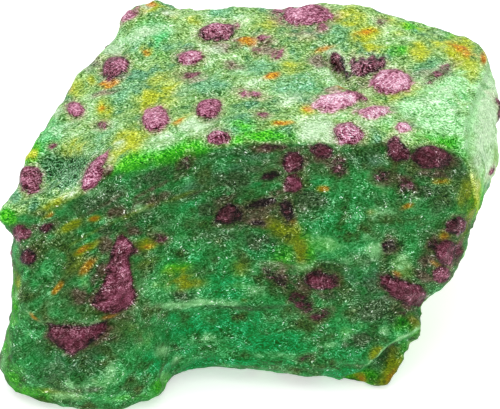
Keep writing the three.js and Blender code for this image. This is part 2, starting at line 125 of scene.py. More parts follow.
# Rubies that the camera sees: centre, width and height in pixels of the photograph, and tone from 0,
# nearly black, over plum and magenta to 100, pale pink. A sixth number, here and in the lists below,
# is a turn in degrees counter-clockwise.
RUBIES = [
    (218, 32, 40, 21, 38, 8), (306, 16, 56, 18, 60), (292, 14, 20, 12, 62), (115, 66, 31, 26, 40, 40),
    (191, 57, 28, 15, 68, 5), (75, 109, 20, 16, 62, -35), (155, 119, 29, 26, 59, 20),
    (209, 108, 28, 23, 52, 20), (31, 180, 23, 27, 42, -20), (391, 82, 44, 25, 70), (392, 76, 32, 14, 58),
    (336, 101, 46, 19, 84, 8), (355, 95, 26, 10, 50, -25), (342, 101, 4, 4, 95), (373, 111, 36, 13, 88, 6),
    (404, 126, 16, 11, 84), (349, 134, 32, 22, 52, -15), (347, 139, 20, 10, 78, 15), (218, 137, 24, 17, 50),
    (432, 158, 42, 25, 24, -5), (322, 151, 26, 15, 30, -15), (293, 162, 22, 22, 24, 40),
    # The nearly black rubies at 262, 203, 287, 210 and 258, 224 lie in the overhang under the ridge: their
    # dark tone is partly painted shade.
    (271, 176, 19, 9, 12, 10), (293, 184, 18, 18, 38), (262, 203, 34, 8, 0, 12), (287, 210, 13, 24, 5, 15),
    (258, 224, 12, 5, 0), (320, 281, 36, 20, 27, -4), (20, 233, 22, 16, 38, 10), (46, 228, 18, 9, 24, 20),
    (28, 257, 18, 18, 24), (457, 226, 24, 18, 24, 5), (447, 253, 26, 26, 30, 10),
    (442, 275, 20, 18, 38, -20),
]

# Rubies still under a thin skin of green mica, and how deep that leaves them, in mm.
VEILED_RUBIES = [
    (129, 14, 30, 9, 72, 25), (232, 27, 16, 12, 66, 20), (381, 21, 10, 7, 42), (191, 74, 18, 7, 42),
    (264, 39, 17, 8, 50, -20), (257, 49, 10, 8, 58), (277, 54, 12, 9, 54, 20), (251, 94, 26, 10, 66, -10),
    (263, 115, 11, 6, 50), (101, 124, 12, 6, 45), (52, 146, 8, 7, 45), (439, 73, 32, 9, 40, 33),
    (339, 167, 17, 18, 30, 10), (382, 176, 19, 11, 26, 10), (406, 186, 19, 13, 27, -5),
    (184, 165, 11, 22, 26, -35), (272, 147, 22, 5, 22), (270, 274, 16, 9, 24, -40),
    (280, 281, 14, 10, 18, -40), (301, 302, 28, 14, 22, -35), (321, 315, 20, 10, 26, 15),
    (160, 238, 16, 9, 30, -20), (305, 358, 10, 4, 26, 15), (402, 312, 14, 6, 26, -35),
    (461, 254, 10, 20, 38, -10), (322, 26, 10, 7, 60), (278, 12, 12, 8, 60), (390, 246, 14, 14, 6, -10),
    (434, 246, 12, 12, 20),
]
VEIL = 0.16

# Rubies with a form of their own: tone and corners, in the same pixels.
RUBY_OUTLINES = [
    (52, [(82, 192), (81, 181), (86, 167), (95, 157), (108, 150), (107, 163), (102, 177), (94, 188)]),
    (34, [(116, 238), (121, 233), (128, 238), (136, 246), (138, 252), (131, 258), (131, 272), (134, 284),
          (137, 296), (134, 303), (124, 311), (114, 314), (99, 311), (91, 304), (94, 295), (101, 286),
          (107, 268), (109, 250)]),
    (44, [(98, 300), (106, 290), (128, 287), (136, 296), (134, 303), (124, 311), (112, 313), (98, 308)]),
    (30, [(46, 325), (62, 323), (84, 326), (109, 319), (106, 334), (92, 344), (82, 350), (72, 356),
          (57, 348), (47, 337)]),
    (56, [(66, 346), (78, 342), (80, 349), (72, 355)]),
    (26, [(390, 137), (396, 133), (402, 141), (410, 152), (409, 161), (396, 163), (388, 156),
          (385, 146)]),
    # This ruby lies in the same overhang: its dark tone is partly painted shade.
    (12, [(236, 205), (229, 201), (222, 207), (215, 215), (213, 223), (228, 225), (242, 222),
          (243, 213)]),
    (30, [(380, 276), (389, 273), (404, 280), (422, 285), (428, 297), (424, 308), (406, 306), (390, 296),
          (381, 286)]),
    (34, [(328, 57), (334, 51), (341, 55), (345, 64), (348, 73), (341, 72), (333, 66)]),
    (4, [(338, 54), (343, 57), (347, 68), (351, 79), (344, 77), (341, 66)]),
    (30, [(349, 61), (353, 54), (357, 61), (362, 55), (366, 61), (373, 53), (377, 60), (384, 56),
          (387, 66), (377, 73), (363, 77), (352, 77)]),
]

# Rubies on the sides that the camera doesn't see, on the solid's own crystals and between them:
# place across and up (or across and along, on the underside), width and height in mm, and tone.
HIDDEN_RUBIES = {"right": [
    (3.0, 35.8, 2.8, 4.6, 34), (10.5, 22, 6, 7.5, 50, 15), (-0.5, 23, 4, 3.5, 40),
    (9.5, 11, 7, 4.5, 50, -10), (16, 31, 4, 2.5, 60, 20), (4, 6, 3.5, 2.5, 35), (-6, 30, 2.5, 1.6, 50),
    (0, 14, 3, 2, 45, 30),
], "back": [
    (-20.5, 31, 8, 6, 50, 20), (-11.5, 17, 6, 7.5, 35), (-2.5, 33, 9, 5.5, 60, -10), (1.5, 20, 5.5, 5, 45),
    (11.5, 27, 7, 8, 40, 30), (-16.5, 8, 7, 5, 50), (7.5, 10, 8, 5.5, 35, -20), (17.5, 17, 5, 6.5, 60),
    (-28, 22, 4, 5, 40, 10), (4, 38, 4.5, 2.5, 50), (-9, 26, 3, 2.5, 30), (19, 36, 4, 3, 45, 30),
    (-4, 5, 3.5, 2.5, 35), (-26, 37, 3.5, 2.2, 65),
], "left": [
    (13.6, 20, 6, 7, 40), (2.6, 12, 7.5, 5.5, 50, 15), (-3.4, 27, 6.5, 7.5, 36, -20),
    (-14.4, 18, 7, 6, 55, 10), (7, 31, 4, 2.5, 50), (-9, 8, 4, 3, 40, 20), (21, 9, 4.5, 3, 35),
    (4, 21, 3, 2.2, 60), (-20, 33, 3.5, 3, 40),
], "under": [
    (-12, -12, 9, 6, 40, 20), (6, 4, 7, 7, 34), (16, -9, 5, 4, 50), (-2, 14, 6, 4, 45, -30),
    (-25, -20, 5, 6, 35), (15, 15, 5, 3.5, 50, 10), (-19, 3, 5, 7, 38, 30), (1, -8, 4, 3, 60),
]}
SIDES = {  # outward direction, and the directions in which across and up are counted
    "right": ((1, 0, 0), (0, 1, 0), (0, 0, 1)),
    "back": ((0, 1, 0), (-1, 0, 0), (0, 0, 1)),
    "left": ((-1, 0, 0), (0, -1, 0), (0, 0, 1)),
    "under": ((0, 0, -1), (1, 0, 0), (0, 1, 0)),
}
ON_SIDE = 0.35  # a surface belongs to a side from this part of its normal on
SMALL_RUBIES = 70  # scattered on the same sides, most of them veiled
SMALL_RADII, SMALL_STRETCH, SMALL_TONES = (0.4, 1.3), (0.7, 1.5), (15.0, 65.0)
WOBBLE, WOBBLE_SIZE = 0.5, np.array([2.6, 2.6, 2.6])  # how far their edges wander
NO_RUBY = -9.0  # depth where there is none

# Stains and patches of the rock, by kind, and "glint", where painted glints of mica cluster: centre, width
# and height as for the rubies, and strength in percent.
STAINS = {"yellow": [
    # partly painted rim light: the strips along the right edge of the front and along the left and bottom
    # edges; the rest is the rock's own yellow
    (129, 140, 34, 20, 85, 25), (104, 110, 16, 20, 70), (77, 87, 16, 18, 60, 50), (75, 147, 24, 14, 70, 20),
    (146, 48, 12, 10, 70), (150, 7, 26, 8, 80, 10), (174, 12, 10, 12, 50), (194, 21, 18, 12, 60),
    (292, 66, 24, 12, 50), (350, 18, 34, 16, 75, -10), (365, 34, 30, 14, 80, 15), (420, 52, 16, 18, 90, 60),
    (470, 70, 30, 22, 90, -40), (408, 92, 48, 10, 95, 18), (400, 102, 22, 10, 50), (308, 111, 14, 12, 80),
    (281, 123, 22, 6, 60, 5), (181, 121, 20, 7, 80, 30), (393, 75, 12, 6, 40), (468, 190, 14, 34, 80, -20),
    (473, 210, 10, 30, 70, -15), (466, 234, 8, 34, 60, -22), (70, 226, 22, 8, 85, 25),
    (95, 219, 12, 6, 80, 10), (84, 250, 26, 7, 85, 30), (76, 262, 30, 12, 50, 50),
    (147, 244, 26, 10, 75, 10), (190, 284, 26, 10, 70, 10), (288, 232, 34, 18, 95, -30),
    (301, 250, 12, 30, 90, 10), (276, 226, 24, 10, 60, 20), (240, 268, 20, 14, 50), (441, 182, 18, 6, 80),
    (322, 189, 12, 6, 60), (407, 206, 10, 5, 50), (403, 267, 14, 20, 70, 40), (445, 234, 10, 9, 70),
    (376, 352, 13, 9, 80, 30), (412, 322, 8, 14, 80), (394, 369, 14, 28, 100, -28), (386, 381, 20, 8, 90),
    (360, 379, 16, 6, 80), (17, 280, 8, 22, 60), (60, 396, 40, 8, 50, -10), (372, 213, 12, 6, 40),
    (48, 214, 18, 6, 50, 40), (130, 330, 40, 18, 25), (32, 155, 12, 9, 70, 50), (372, 48, 24, 10, 70),
    (478, 186, 10, 16, 70), (178, 279, 36, 10, 70, 15), (392, 20, 26, 10, 50, -15),
    (477, 200, 8, 24, 50, -15), (146, 108, 14, 10, 60), (458, 52, 30, 16, 90, -25),
    (436, 44, 14, 8, 60, -20), (300, 38, 34, 10, 30), (464, 42, 22, 12, 80, -20), (91, 80, 10, 10, 50),
    (478, 206, 8, 18, 50, -10), (112, 156, 14, 16, 60, 40), (265, 24, 34, 16, 42), (68, 118, 14, 8, 40),
    (421, 26, 14, 8, 35), (463, 251, 6, 10, 35), (397, 34, 16, 8, 40), (180, 274, 36, 14, 45, 10),
    (66, 398, 34, 10, 35), (58, 202, 40, 8, 65, 25), (158, 94, 42, 28, 68, 30), (132, 214, 54, 5, 40, 25),
    (176, 198, 44, 5, 35, 22), (82, 238, 50, 4, 40, 30), (150, 262, 30, 8, 35, 20),
], "orange": [
    (109, 83, 17, 8, 100, 15), (248, 41, 15, 7, 100, 8), (145, 50, 7, 6, 90), (272, 76, 14, 5, 90, 20),
    (324, 48, 18, 5, 80, 15), (346, 86, 14, 5, 80), (308, 109, 9, 6, 60), (283, 123, 16, 4, 90, 5),
    (180, 121, 12, 4, 70, 30), (103, 108, 9, 6, 55), (463, 50, 26, 8, 70, -25), (484, 57, 6, 14, 70),
    (150, 4, 12, 4, 70), (89, 265, 22, 8, 75, 50), (58, 287, 13, 5, 100, 55), (94, 219, 9, 4, 70, 10),
    (82, 250, 14, 4, 70, 30), (289, 222, 12, 7, 50, 10), (440, 182, 14, 3, 80), (325, 189, 9, 4, 70),
    (407, 206, 12, 4, 60, 20), (397, 274, 10, 5, 70, -30), (445, 236, 8, 8, 60), (392, 375, 16, 6, 60, 50),
    (34, 317, 12, 4, 60, -40), (108, 317, 16, 4, 60, 15), (148, 246, 12, 4, 50, 10),
    (437, 265, 12, 4, 60, -20), (70, 90, 8, 6, 40, 30), (245, 300, 8, 3, 30), (50, 215, 8, 3, 50, 40),
    (362, 380, 8, 4, 50), (364, 33, 22, 6, 60, 15),
], "pale": [
    # partly painted highlights: the patch on the ridge at 318, 130, the lines along the ledge across the
    # front and the lips of the broken corner, and the strips along the left and bottom edges; the rest is
    # pale mica
    (318, 130, 34, 20, 100), (197, 126, 34, 16, 80), (145, 31, 32, 14, 60, 10), (332, 52, 24, 8, 80, -35),
    (370, 124, 30, 14, 40), (215, 52, 18, 16, 40), (200, 45, 14, 8, 40), (250, 84, 30, 10, 35, 15),
    (165, 140, 40, 14, 45, 20), (62, 128, 40, 16, 40, 30), (290, 100, 40, 12, 40, 10),
    (376, 250, 16, 14, 75, 30), (402, 264, 16, 18, 60, 40), (352, 262, 24, 10, 50), (255, 292, 16, 14, 50),
    (163, 351, 12, 12, 60), (177, 361, 10, 9, 50), (110, 372, 12, 22, 50), (72, 386, 30, 12, 50),
    (205, 340, 40, 10, 35), (384, 331, 12, 9, 40, 20), (402, 337, 30, 4, 90, 38), (380, 354, 34, 4, 70, 40),
    (328, 345, 14, 8, 40), (345, 338, 12, 8, 30), (140, 288, 14, 20, 40), (155, 232, 12, 9, 50),
    (50, 304, 10, 14, 35), (85, 322, 60, 5, 40), (95, 192, 20, 10, 40, 20), (370, 238, 14, 8, 35),
    (180, 92, 18, 10, 40, 20), (487, 122, 20, 84, 90, -8), (111, 42, 18, 14, 60), (171, 11, 20, 10, 50),
    (88, 68, 14, 12, 40), (279, 356, 60, 8, 30), (330, 240, 50, 26, 30), (262, 268, 26, 14, 30),
    (446, 69, 16, 10, 40), (289, 373, 16, 6, 40), (166, 378, 14, 10, 30, 40), (425, 100, 24, 10, 50, 15),
    (442, 90, 22, 8, 50, 20), (455, 108, 20, 8, 40, -30), (410, 116, 24, 8, 50), (111, 47, 14, 12, 70),
    (142, 6, 16, 6, 70), (119, 144, 14, 8, 50, 30), (69, 196, 14, 6, 40, 30), (300, 36, 34, 10, 30),
    (441, 31, 16, 8, 40, -15), (306, 267, 18, 12, 40), (412, 328, 8, 12, 40), (492, 174, 12, 22, 80),
    (384, 214, 22, 14, 40), (68, 116, 16, 10, 30, 30), (45, 322, 14, 6, 40), (58, 112, 10, 10, 60),
    (140, 208, 16, 8, 30), (111, 158, 10, 10, 30), (24, 313, 12, 10, 35), (15, 295, 8, 12, 35),
    (4, 362, 8, 14, 40), (225, 303, 30, 5, 40), (66, 398, 34, 10, 40), (188, 304, 54, 8, 80, 4),
    (74, 193, 16, 7, 40, 30),
], "vivid": [
    # partly painted rim light: the strips along the left, bottom and right edges; the rest is the rock's
    # own bright green
    (138, 159, 44, 18, 100, 20), (282, 257, 22, 18, 80), (222, 141, 44, 10, 80, 5), (270, 136, 50, 10, 100),
    (110, 170, 16, 12, 70, 40), (30, 160, 18, 12, 80, 50), (462, 152, 20, 14, 80, -45),
    (8, 216, 14, 18, 100), (411, 24, 22, 10, 80, -15), (398, 50, 26, 12, 60), (140, 24, 18, 12, 40),
    (160, 56, 16, 12, 35), (45, 118, 22, 20, 35, 60), (478, 178, 12, 24, 70, -15),
    (474, 200, 8, 34, 80, -15), (450, 270, 10, 20, 50, -30), (404, 350, 6, 20, 60, -10),
    (385, 125, 26, 10, 50), (350, 118, 40, 8, 40, 10), (235, 40, 14, 10, 30), (135, 398, 50, 8, 40, 8),
    (160, 380, 16, 16, 30, 40), (10, 386, 18, 34, 90, -20), (30, 396, 36, 12, 80, -10),
    (480, 200, 9, 40, 90, -15), (34, 148, 14, 14, 90, 50), (403, 321, 20, 12, 80, 30),
    (349, 380, 26, 8, 90), (308, 252, 12, 26, 90, 10), (198, 150, 20, 8, 90), (446, 142, 46, 14, 100, -12),
    (369, 382, 14, 7, 70), (52, 144, 12, 9, 70), (6, 340, 8, 70, 60), (160, 396, 24, 10, 60, 20),
    (176, 153, 54, 20, 100, 15), (477, 192, 14, 34, 100, -15), (12, 303, 10, 36, 90),
    (243, 124, 24, 10, 60), (176, 268, 26, 12, 70, 10), (448, 34, 20, 10, 50, -20), (322, 244, 34, 14, 50),
    (370, 381, 16, 8, 70), (14, 286, 9, 24, 90), (478, 207, 9, 22, 100, -15), (162, 384, 20, 12, 90, 30),
    (370, 377, 16, 8, 90), (181, 134, 22, 9, 60, 15), (412, 328, 10, 14, 90), (302, 240, 14, 18, 90),
    (283, 268, 16, 10, 60), (306, 266, 14, 10, 60), (24, 315, 12, 8, 30),
], "mint": [
    (440, 88, 54, 26, 90, 20), (440, 118, 70, 26, 90, -10), (415, 108, 44, 24, 90, 10),
    (478, 110, 26, 80, 80, -14), (395, 120, 30, 10, 60), (345, 60, 20, 10, 40, -30),
    (160, 140, 30, 10, 40, 20), (125, 36, 34, 12, 60), (240, 74, 30, 8, 40),
], "emerald": [
    (447, 103, 24, 10, 80, -20), (432, 118, 22, 8, 60), (462, 94, 18, 8, 60, -30), (430, 98, 16, 8, 50, 10),
    (150, 26, 30, 12, 70, 10), (158, 38, 24, 14, 70, 30), (36, 148, 14, 14, 80, 60),
    (60, 170, 30, 20, 60, 20), (330, 90, 30, 12, 40), (215, 130, 24, 8, 50, 10), (245, 128, 24, 8, 50),
    (187, 333, 50, 40, 80, 20), (235, 330, 60, 50, 75), (155, 365, 50, 30, 70), (270, 340, 60, 40, 60),
    (262, 248, 30, 30, 90), (330, 235, 60, 40, 70), (345, 350, 60, 26, 70, 20), (180, 262, 60, 30, 50),
    (225, 278, 50, 30, 60), (380, 318, 40, 20, 40), (250, 310, 60, 24, 60), (310, 185, 30, 16, 50),
    (60, 340, 60, 30, 30), (30, 370, 50, 40, 35), (350, 200, 60, 20, 40), (205, 210, 20, 20, 50),
    (256, 183, 20, 14, 50), (125, 183, 14, 12, 50), (330, 330, 60, 20, 40), (400, 225, 50, 20, 35),
    (70, 245, 50, 30, 30, 30), (300, 360, 60, 16, 50), (279, 358, 56, 12, 100), (166, 378, 22, 16, 90, 40),
    (240, 362, 60, 10, 90), (50, 146, 18, 12, 80), (278, 352, 60, 16, 100), (340, 372, 34, 12, 100),
    (225, 292, 34, 14, 100), (337, 236, 46, 30, 80), (262, 268, 24, 14, 80), (144, 184, 20, 12, 60),
    (339, 232, 34, 16, 100), (44, 170, 9, 14, 90), (48, 133, 16, 13, 90, 50), (203, 367, 36, 16, 100, 20),
    (276, 346, 60, 30, 100), (282, 268, 14, 8, 45), (116, 210, 12, 7, 40), (101, 358, 12, 8, 40),
    (50, 136, 16, 34, 100, -40), (190, 206, 44, 8, 50, 22), (140, 222, 36, 6, 45, 25),
    (88, 228, 40, 5, 40, 28),
], "teal": [
    (145, 42, 50, 26, 50, 10), (200, 84, 60, 30, 45, 10), (120, 95, 60, 24, 45, 30), (300, 85, 60, 22, 60),
    (340, 30, 24, 24, 60, 40), (260, 66, 40, 16, 50), (425, 70, 34, 14, 70, 20), (100, 140, 60, 24, 45, 30),
    (50, 135, 40, 24, 50, 50), (450, 130, 40, 10, 40), (75, 360, 50, 26, 50), (370, 280, 50, 30, 50),
    (230, 170, 50, 20, 40, 10), (100, 205, 50, 14, 40, 10), (420, 300, 30, 20, 40, -30),
    (385, 300, 30, 30, 40), (360, 160, 60, 16, 45), (250, 155, 60, 14, 40), (235, 118, 40, 20, 40),
    (190, 190, 60, 20, 35, 15), (488, 120, 18, 90, 60, -8), (111, 44, 16, 14, 60), (14, 197, 12, 16, 80),
    (223, 12, 30, 10, 60), (246, 48, 8, 5, 40), (70, 174, 40, 26, 70, 15),
], "dark_and_shade": [
    # partly painted shade: the dark patches in the hollow at the top left, under a small ledge near the top
    # left, under the lip of the broken corner at the bottom right, under the ledge across the front and in
    # the overhang under the ridge; the rest is the rock's own dark green
    (62, 166, 46, 26, 90, 20), (85, 178, 16, 20, 50, 60), (105, 196, 60, 20, 70, 20),
    (160, 175, 90, 16, 65, 20), (240, 153, 90, 8, 50, 5), (300, 148, 60, 6, 40), (365, 153, 60, 10, 40),
    (452, 168, 40, 16, 80, -25), (420, 176, 70, 12, 50), (145, 218, 60, 30, 50), (348, 264, 80, 14, 55, 10),
    (300, 290, 60, 30, 55, -30), (372, 290, 40, 26, 50), (362, 340, 34, 14, 80, 20),
    (389, 355, 26, 11, 100, 38), (130, 335, 60, 30, 40), (95, 350, 60, 16, 40, 10), (60, 375, 80, 26, 45),
    (50, 350, 40, 24, 35), (245, 308, 80, 8, 60), (322, 64, 18, 14, 50), (106, 92, 28, 5, 50, 15),
    (205, 232, 60, 24, 40, 10), (62, 205, 20, 6, 30, 30), (70, 276, 50, 14, 35, 40), (100, 325, 40, 8, 30),
    (437, 205, 60, 24, 40), (430, 245, 20, 40, 40), (390, 197, 60, 12, 35), (150, 200, 40, 12, 50, 20),
    (330, 160, 50, 26, 35), (30, 195, 26, 10, 30, 20), (225, 197, 32, 14, 100, 10), (240, 214, 60, 30, 80),
    (212, 210, 24, 18, 90), (104, 246, 16, 18, 80), (99, 275, 14, 34, 80, -20), (108, 228, 24, 12, 80, 10),
    (436, 176, 36, 10, 90, -5), (374, 310, 34, 22, 90), (232, 180, 34, 16, 90), (457, 159, 18, 12, 80, -20),
    (135, 230, 18, 12, 80), (422, 274, 22, 14, 80, -30), (392, 320, 14, 14, 60), (290, 190, 50, 12, 50),
    (424, 190, 40, 14, 80), (308, 200, 34, 22, 80), (262, 241, 34, 18, 80), (406, 195, 30, 14, 60),
    (182, 296, 22, 10, 80), (221, 48, 18, 8, 40), (425, 262, 18, 18, 60), (326, 296, 30, 14, 70),
    (82, 182, 10, 12, 60), (93, 391, 30, 10, 60), (277, 192, 16, 10, 60), (14, 198, 8, 12, 50),
    (42, 190, 14, 10, 55), (255, 169, 26, 10, 55), (118, 177, 16, 8, 50, 20), (229, 237, 24, 10, 55),
    (84, 185, 8, 10, 50), (74, 168, 34, 18, 100, 10), (60, 184, 26, 14, 70, 20),
], "plum": [
    # partly painted shade: the bands under a small ledge near the top left and in the overhang under the
    # ridge; the rest is a purple-brown tint of the rock
    (158, 200, 34, 12, 60, 20), (120, 210, 40, 14, 60, 15), (300, 160, 60, 24, 50), (80, 296, 22, 16, 80),
    (230, 66, 12, 8, 90), (268, 46, 18, 16, 90, -20), (268, 148, 40, 8, 80), (290, 280, 60, 26, 50, -30),
    (318, 60, 20, 14, 80), (184, 78, 40, 10, 50), (236, 68, 24, 12, 50), (45, 214, 16, 8, 50),
    (495, 100, 8, 24, 80), (482, 105, 6, 12, 70), (467, 129, 10, 12, 60), (478, 160, 8, 12, 50),
    (170, 12, 12, 14, 40), (397, 100, 16, 8, 50), (95, 58, 10, 8, 50), (105, 93, 30, 6, 60, 15),
    (268, 215, 60, 30, 50), (330, 158, 60, 26, 40), (425, 74, 26, 10, 50, 10), (120, 318, 30, 12, 40),
    (350, 290, 30, 14, 35), (442, 248, 40, 60, 35, -10), (392, 243, 22, 26, 50),
    (460, 252, 14, 34, 90, -20), (104, 334, 26, 14, 90, 30), (422, 274, 22, 14, 60, -30),
    (225, 199, 26, 12, 50, 10), (104, 246, 12, 16, 70), (99, 277, 12, 30, 70, -20),
    (436, 175, 34, 7, 80, -5), (135, 231, 14, 8, 70), (236, 45, 14, 8, 60), (406, 306, 24, 7, 80, -30),
    (322, 27, 14, 9, 80), (93, 297, 14, 12, 90), (48, 338, 12, 14, 50), (395, 182, 44, 14, 50),
    (425, 262, 18, 20, 70), (221, 48, 20, 10, 80), (88, 68, 8, 8, 60), (55, 343, 14, 12, 60),
    (278, 12, 12, 8, 60), (107, 172, 8, 20, 80, -30), (93, 63, 12, 8, 70), (214, 126, 14, 7, 60),
    (114, 338, 20, 8, 70, 20), (277, 193, 12, 9, 70), (461, 256, 12, 24, 80, -15), (100, 292, 12, 14, 80),
    (278, 20, 20, 10, 70), (169, 12, 12, 8, 70), (303, 35, 30, 12, 70), (238, 41, 14, 9, 70),
    (280, 22, 20, 10, 80), (456, 162, 16, 10, 70), (115, 49, 14, 10, 50), (331, 89, 18, 8, 60),
    (361, 83, 16, 8, 60), (307, 106, 12, 8, 50), (19, 294, 6, 10, 50), (96, 290, 8, 20, 80),
    (382, 144, 12, 8, 50), (216, 127, 12, 6, 45), (33, 226, 10, 6, 50), (360, 172, 12, 8, 30),
    (120, 227, 12, 7, 40), (42, 192, 10, 6, 30), (91, 82, 8, 8, 30), (390, 262, 12, 8, 35),
    (282, 33, 12, 6, 30), (150, 190, 60, 5, 50, 26), (100, 207, 60, 5, 45, 28), (122, 228, 50, 4, 40, 28),
    (205, 190, 50, 5, 40, 18), (60, 222, 40, 4, 35, 28),
], "glint": [
    # painted glints: where white flecks of mica catching the light are painted, on rock and rubies
    (192, 305, 66, 14, 100, 5), (112, 195, 40, 14, 90, 20), (160, 190, 50, 20, 50, 20),
    (370, 155, 60, 20, 70), (430, 195, 60, 30, 70), (330, 215, 90, 40, 50), (250, 270, 90, 40, 60),
    (360, 345, 60, 30, 60), (240, 345, 120, 40, 60), (80, 375, 90, 40, 60), (60, 330, 80, 14, 60),
    (110, 270, 60, 80, 40), (30, 260, 40, 60, 40), (385, 320, 50, 40, 60), (200, 230, 90, 40, 40),
    (395, 255, 40, 40, 80), (442, 275, 22, 20, 120), (349, 134, 30, 20, 100), (218, 137, 22, 16, 80),
    (358, 66, 50, 22, 80), (115, 66, 28, 24, 50), (218, 32, 36, 20, 50), (300, 262, 24, 20, 80),
    (160, 270, 40, 60, 50), (445, 255, 40, 60, 50), (64, 174, 50, 30, 90, 20),
]}
STAIN_REACH = 1.25  # how slowly a stain fades out
SCATTERED = {  # on the sides that the camera doesn't see: how many, and their size beside the others
    "yellow": (30, 0.75), "orange": (21, 0.45), "pale": (30, 1.0), "vivid": (30, 0.7), "mint": (24, 1.0),
    "emerald": (48, 1.0), "teal": (42, 1.0), "dark_and_shade": (48, 1.0), "plum": (24, 0.8), "glint": (36, 1.0),
}
SCATTERED_RADII, SCATTERED_STRETCH = (1.5, 5.0), (1.2, 2.4)
SCATTERED_DEPTH = (1.2, 0.8)  # times the radius, in y and z
SCATTERED_STRENGTH = (40.0, 95.0)
SEED = 11

# Edges where the rock broke off: corners of the line in pixels, how far its lip stands out, how deep
# the break under it goes, and how wide both are.
BREAKS = [
    ([(415, 328), (401, 338), (386, 350), (374, 360), (360, 371), (345, 376)], 0.45, 0.9, 1.6),
    ([(28, 312), (44, 324), (70, 322), (96, 325), (118, 316)], 0.3, 0.5, 1.3),
    ([(150, 306), (192, 303), (222, 307), (250, 310), (285, 305)], 0.3, 0.45, 1.5),
    ([(60, 206), (86, 192), (106, 168)], 0.3, 0.3, 1.4),
    ([(330, 56), (338, 62), (346, 78), (353, 80)], 0.3, 1.3, 1.1),
    ([(487, 74), (476, 98), (467, 122), (467, 146)], 0.35, 0.3, 1.2),
    ([(300, 118), (322, 120), (334, 134)], 0.25, 0.25, 1.0),
    ([(430, 84), (445, 78), (452, 66)], 0.25, 0.4, 1.0),
    ([(305, 262), (322, 258), (345, 262), (362, 272)], 0.2, 0.25, 1.4),
    ([(90, 246), (110, 240), (122, 232)], 0.15, 0.3, 1.2),
    ([(240, 262), (262, 256), (288, 262)], 0.2, 0.25, 1.5),
    ([(120, 38), (150, 44), (175, 38)], 0.2, 0.25, 1.4),
    ([(176, 362), (160, 374), (150, 385)], 0.2, 0.2, 1.5),
]
BREAKS_SEEN = (0.0, 0.15)
LIP_PLACE, LIP_WIDTH = -0.45, 0.5  # beside the line, in its widths: the lip above it,
DROP_PLACE, DROP_WIDTH = 0.55, 0.6  # and the break below

# Places where the rock stands out of the CAD surface, or lies back from it: centre, width and height
# as for the rubies, and by how many mm.
SWELLS = [
    (112, 38, 26, 26, -1.1, 55), (178, 5, 26, 10, -0.9), (136, 5, 24, 12, 0.9, 30), (290, 6, 50, 12, 0.5),
    (352, 6, 80, 12, 0.55), (432, 22, 56, 16, -0.95, -20), (402, 15, 30, 10, -0.4),
    (486, 60, 14, 24, -0.35, 60), (492, 180, 14, 34, -0.7, -20), (468, 248, 16, 56, -0.8, -25),
    (424, 309, 24, 20, -0.6, 10), (412, 342, 14, 34, 0.9, -12), (399, 379, 12, 14, -0.8, -30),
    (386, 384, 12, 8, 0.4), (340, 382, 80, 10, 0.6), (7, 238, 12, 22, -0.7), (186, 375, 44, 14, -1.0, 25),
    (242, 371, 40, 10, -0.5), (22, 168, 16, 26, 0.6, 60), (45, 126, 20, 20, -0.45, 60),
    (75, 402, 120, 18, -0.7), (158, 391, 24, 14, 0.9, 30), (14, 298, 10, 30, -0.4),
]
SWELL_REACH = 1.3
SWELLS_SEEN = (-0.6, -0.45)


def smoothstep(low, high, value):
    t = np.clip((value - low) / (high - low), 0.0, 1.0)
    return t * t * (3.0 - 2.0 * t)


def bump(value, place=0.0, width=1.0):
    """1 at a place, falling off on both sides of it."""
    return np.exp(-((value - place) / width) ** 2)


def to_pixels(points):
    """Where points fall in the photograph's frame: x to the right and y down, from its top left corner."""
    offset = points - EYE
    depth = offset @ FORWARD
    across = PHOTO_WIDTH / 2 + FOCAL_PIXELS * (offset @ RIGHT) / depth
    down = PHOTO_HEIGHT / 2 - FOCAL_PIXELS * (offset @ UP) / depth
    return np.column_stack([across, down])


def ellipse_radius(offset, width, height, degrees=0):
    """0 in the middle of an ellipse, 1 on its edge, at offsets from its centre with y up."""
    c, s = math.cos(math.radians(degrees)), math.sin(math.radians(degrees))
    u = offset @ np.array([[c, -s], [s, c]]) / (0.5 * np.array([width, height]))
    return np.sqrt((u ** 2).sum(axis=1))


def pixel_radius(places, x, y, width, height, degrees=0):
    """The same for an ellipse in the photograph's frame, whose y points down."""
    return ellipse_radius((places - (x, y)) * (1.0, -1.0), width, height, degrees)


def line_distance(places, start, end):
    """How far places are from a line, and which side of it: positive on its right going along it."""
    start, end = np.array(start, float), np.array(end, float)
    run = end - start
    along = np.clip(((places - start) @ run) / (run @ run), 0.0, 1.0)
    offset = places - (start + along[:, None] * run)
    side = run[0] * offset[:, 1] - run[1] * offset[:, 0]
    return np.hypot(offset[:, 0], offset[:, 1]), side


def outline_depth(places, corners):
    """How deep places are inside a closed outline, negative outside it."""
    nearest = np.full(len(places), np.inf)
    inside = np.zeros(len(places), bool)
    for (x0, y0), (x1, y1) in zip(corners, corners[1:] + corners[:1]):
        nearest = np.minimum(nearest, line_distance(places, (x0, y0), (x1, y1))[0])
        crosses = (y0 > places[:, 1]) != (y1 > places[:, 1])
        if y0 != y1:
            at = x0 + (places[:, 1] - y0) * (x1 - x0) / (y1 - y0)
            inside ^= crosses & (places[:, 0] < at)
    return np.where(inside, nearest, -nearest)


def field(points, features, seed, octaves=1):
    """Perlin noise at points, about -1 to 1, with features that many mm across in x, y and z."""
    shift = np.array([17.3, 5.1, -9.7]) * seed
    places = points / features + shift
    return np.array([noise.fractal(Vector(p), FALL, LACUNARITY, octaves) for p in places])


def chips(points, size, seed):
    """Flat flakes of random tilt and height, as mica breaks: -1 to 1 with steps between flakes."""
    heights = np.empty(len(points))
    shift = np.array([3.7, 11.9, 7.1]) * seed
    middle = Vector((0.5, 0.5, 0.5))
    for i, p in enumerate(points / size + shift):
        nearest = noise.voronoi(Vector(p))[1][0]
        tilt = noise.cell_vector(nearest * 7.0) - middle
        heights[i] = tilt.x * FLAKE_STEP + tilt.dot(Vector(p) - nearest) * FLAKE_TILT
    return heights


